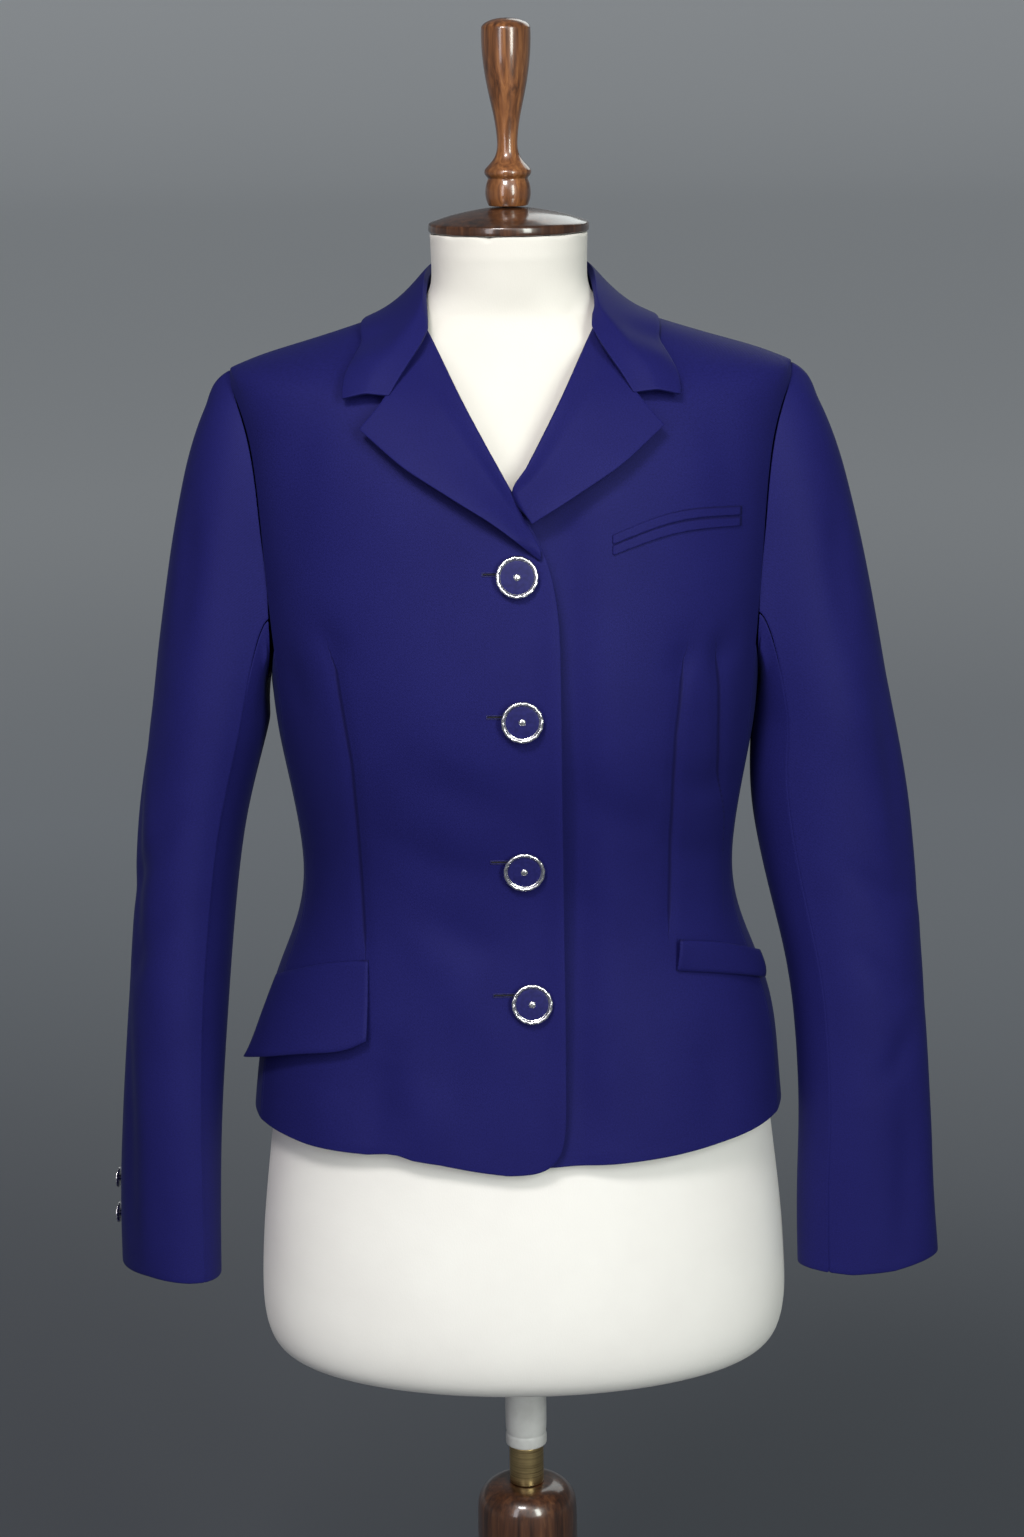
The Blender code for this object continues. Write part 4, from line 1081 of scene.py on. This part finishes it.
def add_rim(bm, ring, thick, height):
    """A ring of uneven thickness: a circle spun round the axis, then swelled by two waves."""
    before = set(bm.verts)
    upright = Matrix.Translation((ring, 0, height)) @ Matrix.Rotation(math.pi / 2, 4, "X")
    start = bmesh.ops.create_circle(bm, segments=10, radius=thick, matrix=upright)["verts"]
    edges = list({edge for point in start for edge in point.link_edges})
    bmesh.ops.spin(bm, geom=start + edges, cent=(0, 0, 0), axis=(0, 0, 1), angle=math.tau,
                   steps=RIM_STEPS, use_merge=True)
    for point in set(bm.verts) - before:
        around = math.atan2(point.co.y, point.co.x)
        core = Vector((ring * math.cos(around), ring * math.sin(around), height))
        spoke = point.co - core
        lean = math.atan2(spoke.z, spoke.dot(core) / ring)
        swell = 1 + 0.13 * math.sin(15 * around + 2 * lean) + 0.07 * math.sin(37 * around - lean + 1.3)
        point.co = core + spoke * swell


def above_shank(section, size):
    return [(radius * size, SHANK + height * size) for radius, height in section]


def finish_button(name, bm, place, material):
    """Merge what was spun, move it to its seat on the jacket, and round it."""
    bmesh.ops.remove_doubles(bm, verts=bm.verts, dist=SPIN_MERGE)
    bmesh.ops.recalc_face_normals(bm, faces=bm.faces)
    bmesh.ops.transform(bm, matrix=place, verts=bm.verts)
    piece = rounded(mesh_object(name, bm, material), 1)
    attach(piece, "root")
    return piece


def make_button(node, away_from):
    place, size = seat_of(node, away_from)
    bm = bmesh.new()
    dish = [(radius * size, height * SHANK) for radius, height in DISH]
    spin_section(bm, dish + above_shank(BOWL, size), BUTTON_STEPS)
    add_rim(bm, 0.895 * size, 0.095 * size, SHANK + 0.175 * size)
    spin_section(bm, above_shank(STUD, size), STUD_STEPS)
    metal = finish_button(node + "_metal", bm, place, silver)
    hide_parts(node)
    bm = bmesh.new()
    spin_section(bm, above_shank(DISC, size), BUTTON_STEPS)
    finish_button(node + "_disc", bm, place, blue_disc)
    print(node, "is", round(2 * size / MM, 1), "mm across")


for number in (1, 2, 3, 4):
    make_button(f"button_{number}", BODY_MIDDLE)
for word, side in (("right", RIGHT), ("left", LEFT)):
    for number in (1, 2):
        make_button(f"cuff_button_{word}_{number}", (side * CUFF_MIDDLE.x, CUFF_MIDDLE.y, CUFF_MIDDLE.z))

# %% [markdown]
# ## Buttonholes
# Beside each front button the end of its buttonhole shows: a dark slit between two bars of
# close stitching in blue thread. The bars are one loop of thread laid on the cloth, and the
# shadow in the slit is painted, as a near-black rope inside it. Both are curves with a round
# bevel whose points are dropped onto the finished front by ray casting, so that they follow
# its curve exactly.

# %% Buttonholes
Hole = namedtuple("Hole", "end_across z")      # millimetres, at the end away from the front edge
HOLES = [Hole(-20.5, 1241.0), Hole(-19.0, 1149.5), Hole(-18.0, 1047.5), Hole(-17.8, 954.5)]
HOLE_LENGTH = 21.0
HOLE_HALF_WIDTH = 1.05
THREAD_RADIUS, SLIT_RADIUS = 0.42, 0.55
THREAD_ABOVE, SLIT_ABOVE = 0.18, 0.05
SLIT_INSET = 0.6
LOOP_STEPS, SLIT_STEPS = 44, 14
THREAD_TURN = 0.0007    # metres between two turns of the thread


def thread_material(name, colour):
    material, tree, shader = new_material(name, 0.6)
    turns = add_node(tree, "ShaderNodeTexWave", {"wave_type": "BANDS", "bands_direction": "X"},
                     Vector=object_place(tree), Scale=WAVE_UNIT / THREAD_TURN, Distortion=1.5, Detail=1.0)
    dim = tuple(part * 0.55 for part in colour)
    shade = add_ramp(tree, turns.outputs["Fac"], [(0.25, dim), (0.75, colour)])
    tree.links.new(shade, shader.inputs["Base Color"])
    add_bump(tree, shader, turns.outputs["Fac"], 0.6, 0.0003)
    return material


def drop_on(surface, across, height, above):
    """The point of the front at this place, a little above the cloth, in metres."""
    start = Vector((across * MM, -0.5, height * MM))
    spot, normal, _, _ = surface.ray_cast(start, Vector((0, 1, 0)))
    return spot + normal * above * MM


def squared_off(wave, gain):
    """A wave between -1 and 1, stretched so that it stays longer at its ends."""
    return math.copysign(min(abs(wave) * gain, 1.0), wave)


def lay_thread(name, points, radius, closed, material):
    curve = bpy.data.curves.new(name, "CURVE")
    curve.dimensions = "3D"
    curve.bevel_depth = radius * MM
    curve.bevel_resolution = 2
    curve.use_fill_caps = not closed
    spline = curve.splines.new("POLY")
    spline.points.add(len(points) - 1)
    for spline_point, point in zip(spline.points, points):
        spline_point.co = (*point, 1)
    spline.use_cyclic_u = closed
    rope = bpy.data.objects.new(name, curve)
    bpy.context.collection.objects.link(rope)
    mesh = bpy.data.meshes.new_from_object(rope.evaluated_get(bpy.context.evaluated_depsgraph_get()))
    bpy.data.objects.remove(rope)
    mesh.name = name
    mesh.materials.clear()
    mesh.materials.append(material)
    mesh.shade_smooth()
    piece = bpy.data.objects.new(name, mesh)
    bpy.context.collection.objects.link(piece)
    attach(piece, "root")


thread = thread_material("blue_thread", (0.016, 0.015, 0.115))
# a near-black rope for the painted shadow in each slit
shadow_thread = thread_material("slit_painted_shadow", (0.0022, 0.0020, 0.010))
front_surface = BVHTree.FromObject(cloth["front_right"], bpy.context.evaluated_depsgraph_get())
reach = HOLE_LENGTH / 2
for number, hole in enumerate(HOLES, 1):
    loop = []
    for step in range(LOOP_STEPS):
        angle = math.tau * step / LOOP_STEPS
        across = squared_off(math.cos(angle), 1.6) * reach
        rise = squared_off(math.sin(angle), 4.0) * HOLE_HALF_WIDTH
        loop.append(drop_on(front_surface, hole.end_across + reach + across, hole.z + rise, THREAD_ABOVE))
    lay_thread(f"buttonhole_{number}", loop, THREAD_RADIUS, True, thread)
    start = hole.end_across + SLIT_INSET
    end = hole.end_across + HOLE_LENGTH - SLIT_INSET
    slit = [drop_on(front_surface, start + (end - start) * step / SLIT_STEPS, hole.z, SLIT_ABOVE)
            for step in range(SLIT_STEPS + 1)]
    lay_thread(f"buttonhole_slit_shadow_{number}", slit, SLIT_RADIUS, False, shadow_thread)
print("buttonholes:", len(HOLES))

# %% [markdown]
# Every piece of cloth is hung from the root, and its half surface is printed beside the area
# of its cut. The flat sizes are those of the paper pattern, without seam allowance.

# %% Cut sizes
Cut = namedtuple("Cut", "node width length area")
CUTS = [
    Cut("front_right", 0.255, 0.580, 0.116), Cut("front_left", 0.255, 0.580, 0.116),
    Cut("side_right", 0.125, 0.340, 0.031), Cut("side_left", 0.125, 0.340, 0.031),
    Cut("back_right", 0.230, 0.585, 0.103), Cut("back_left", 0.230, 0.585, 0.103),
    Cut("lapel_right", 0.110, 0.190, 0.008), Cut("lapel_left", 0.110, 0.170, 0.007),
    Cut("collar", 0.090, 0.430, 0.026),
    Cut("sleeve_top_right", 0.250, 0.650, 0.122), Cut("sleeve_under_right", 0.160, 0.520, 0.055),
    Cut("sleeve_top_left", 0.250, 0.650, 0.122), Cut("sleeve_under_left", 0.160, 0.520, 0.055),
    Cut("hip_flap_right", 0.130, 0.062, 0.0070), Cut("hip_welt_left", 0.115, 0.024, 0.0025),
    Cut("chest_jet_upper", 0.095, 0.012, 0.0007), Cut("chest_jet_lower", 0.095, 0.012, 0.0007),
]


def half_surface(piece):
    return sum(face.area for face in piece.data.polygons) / 2


for cut in CUTS:
    piece = cloth[cut.node]
    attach(piece, "root")
    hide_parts(cut.node)
    print(cut.node, "half surface", round(half_surface(piece), 4), "cut", cut.area)
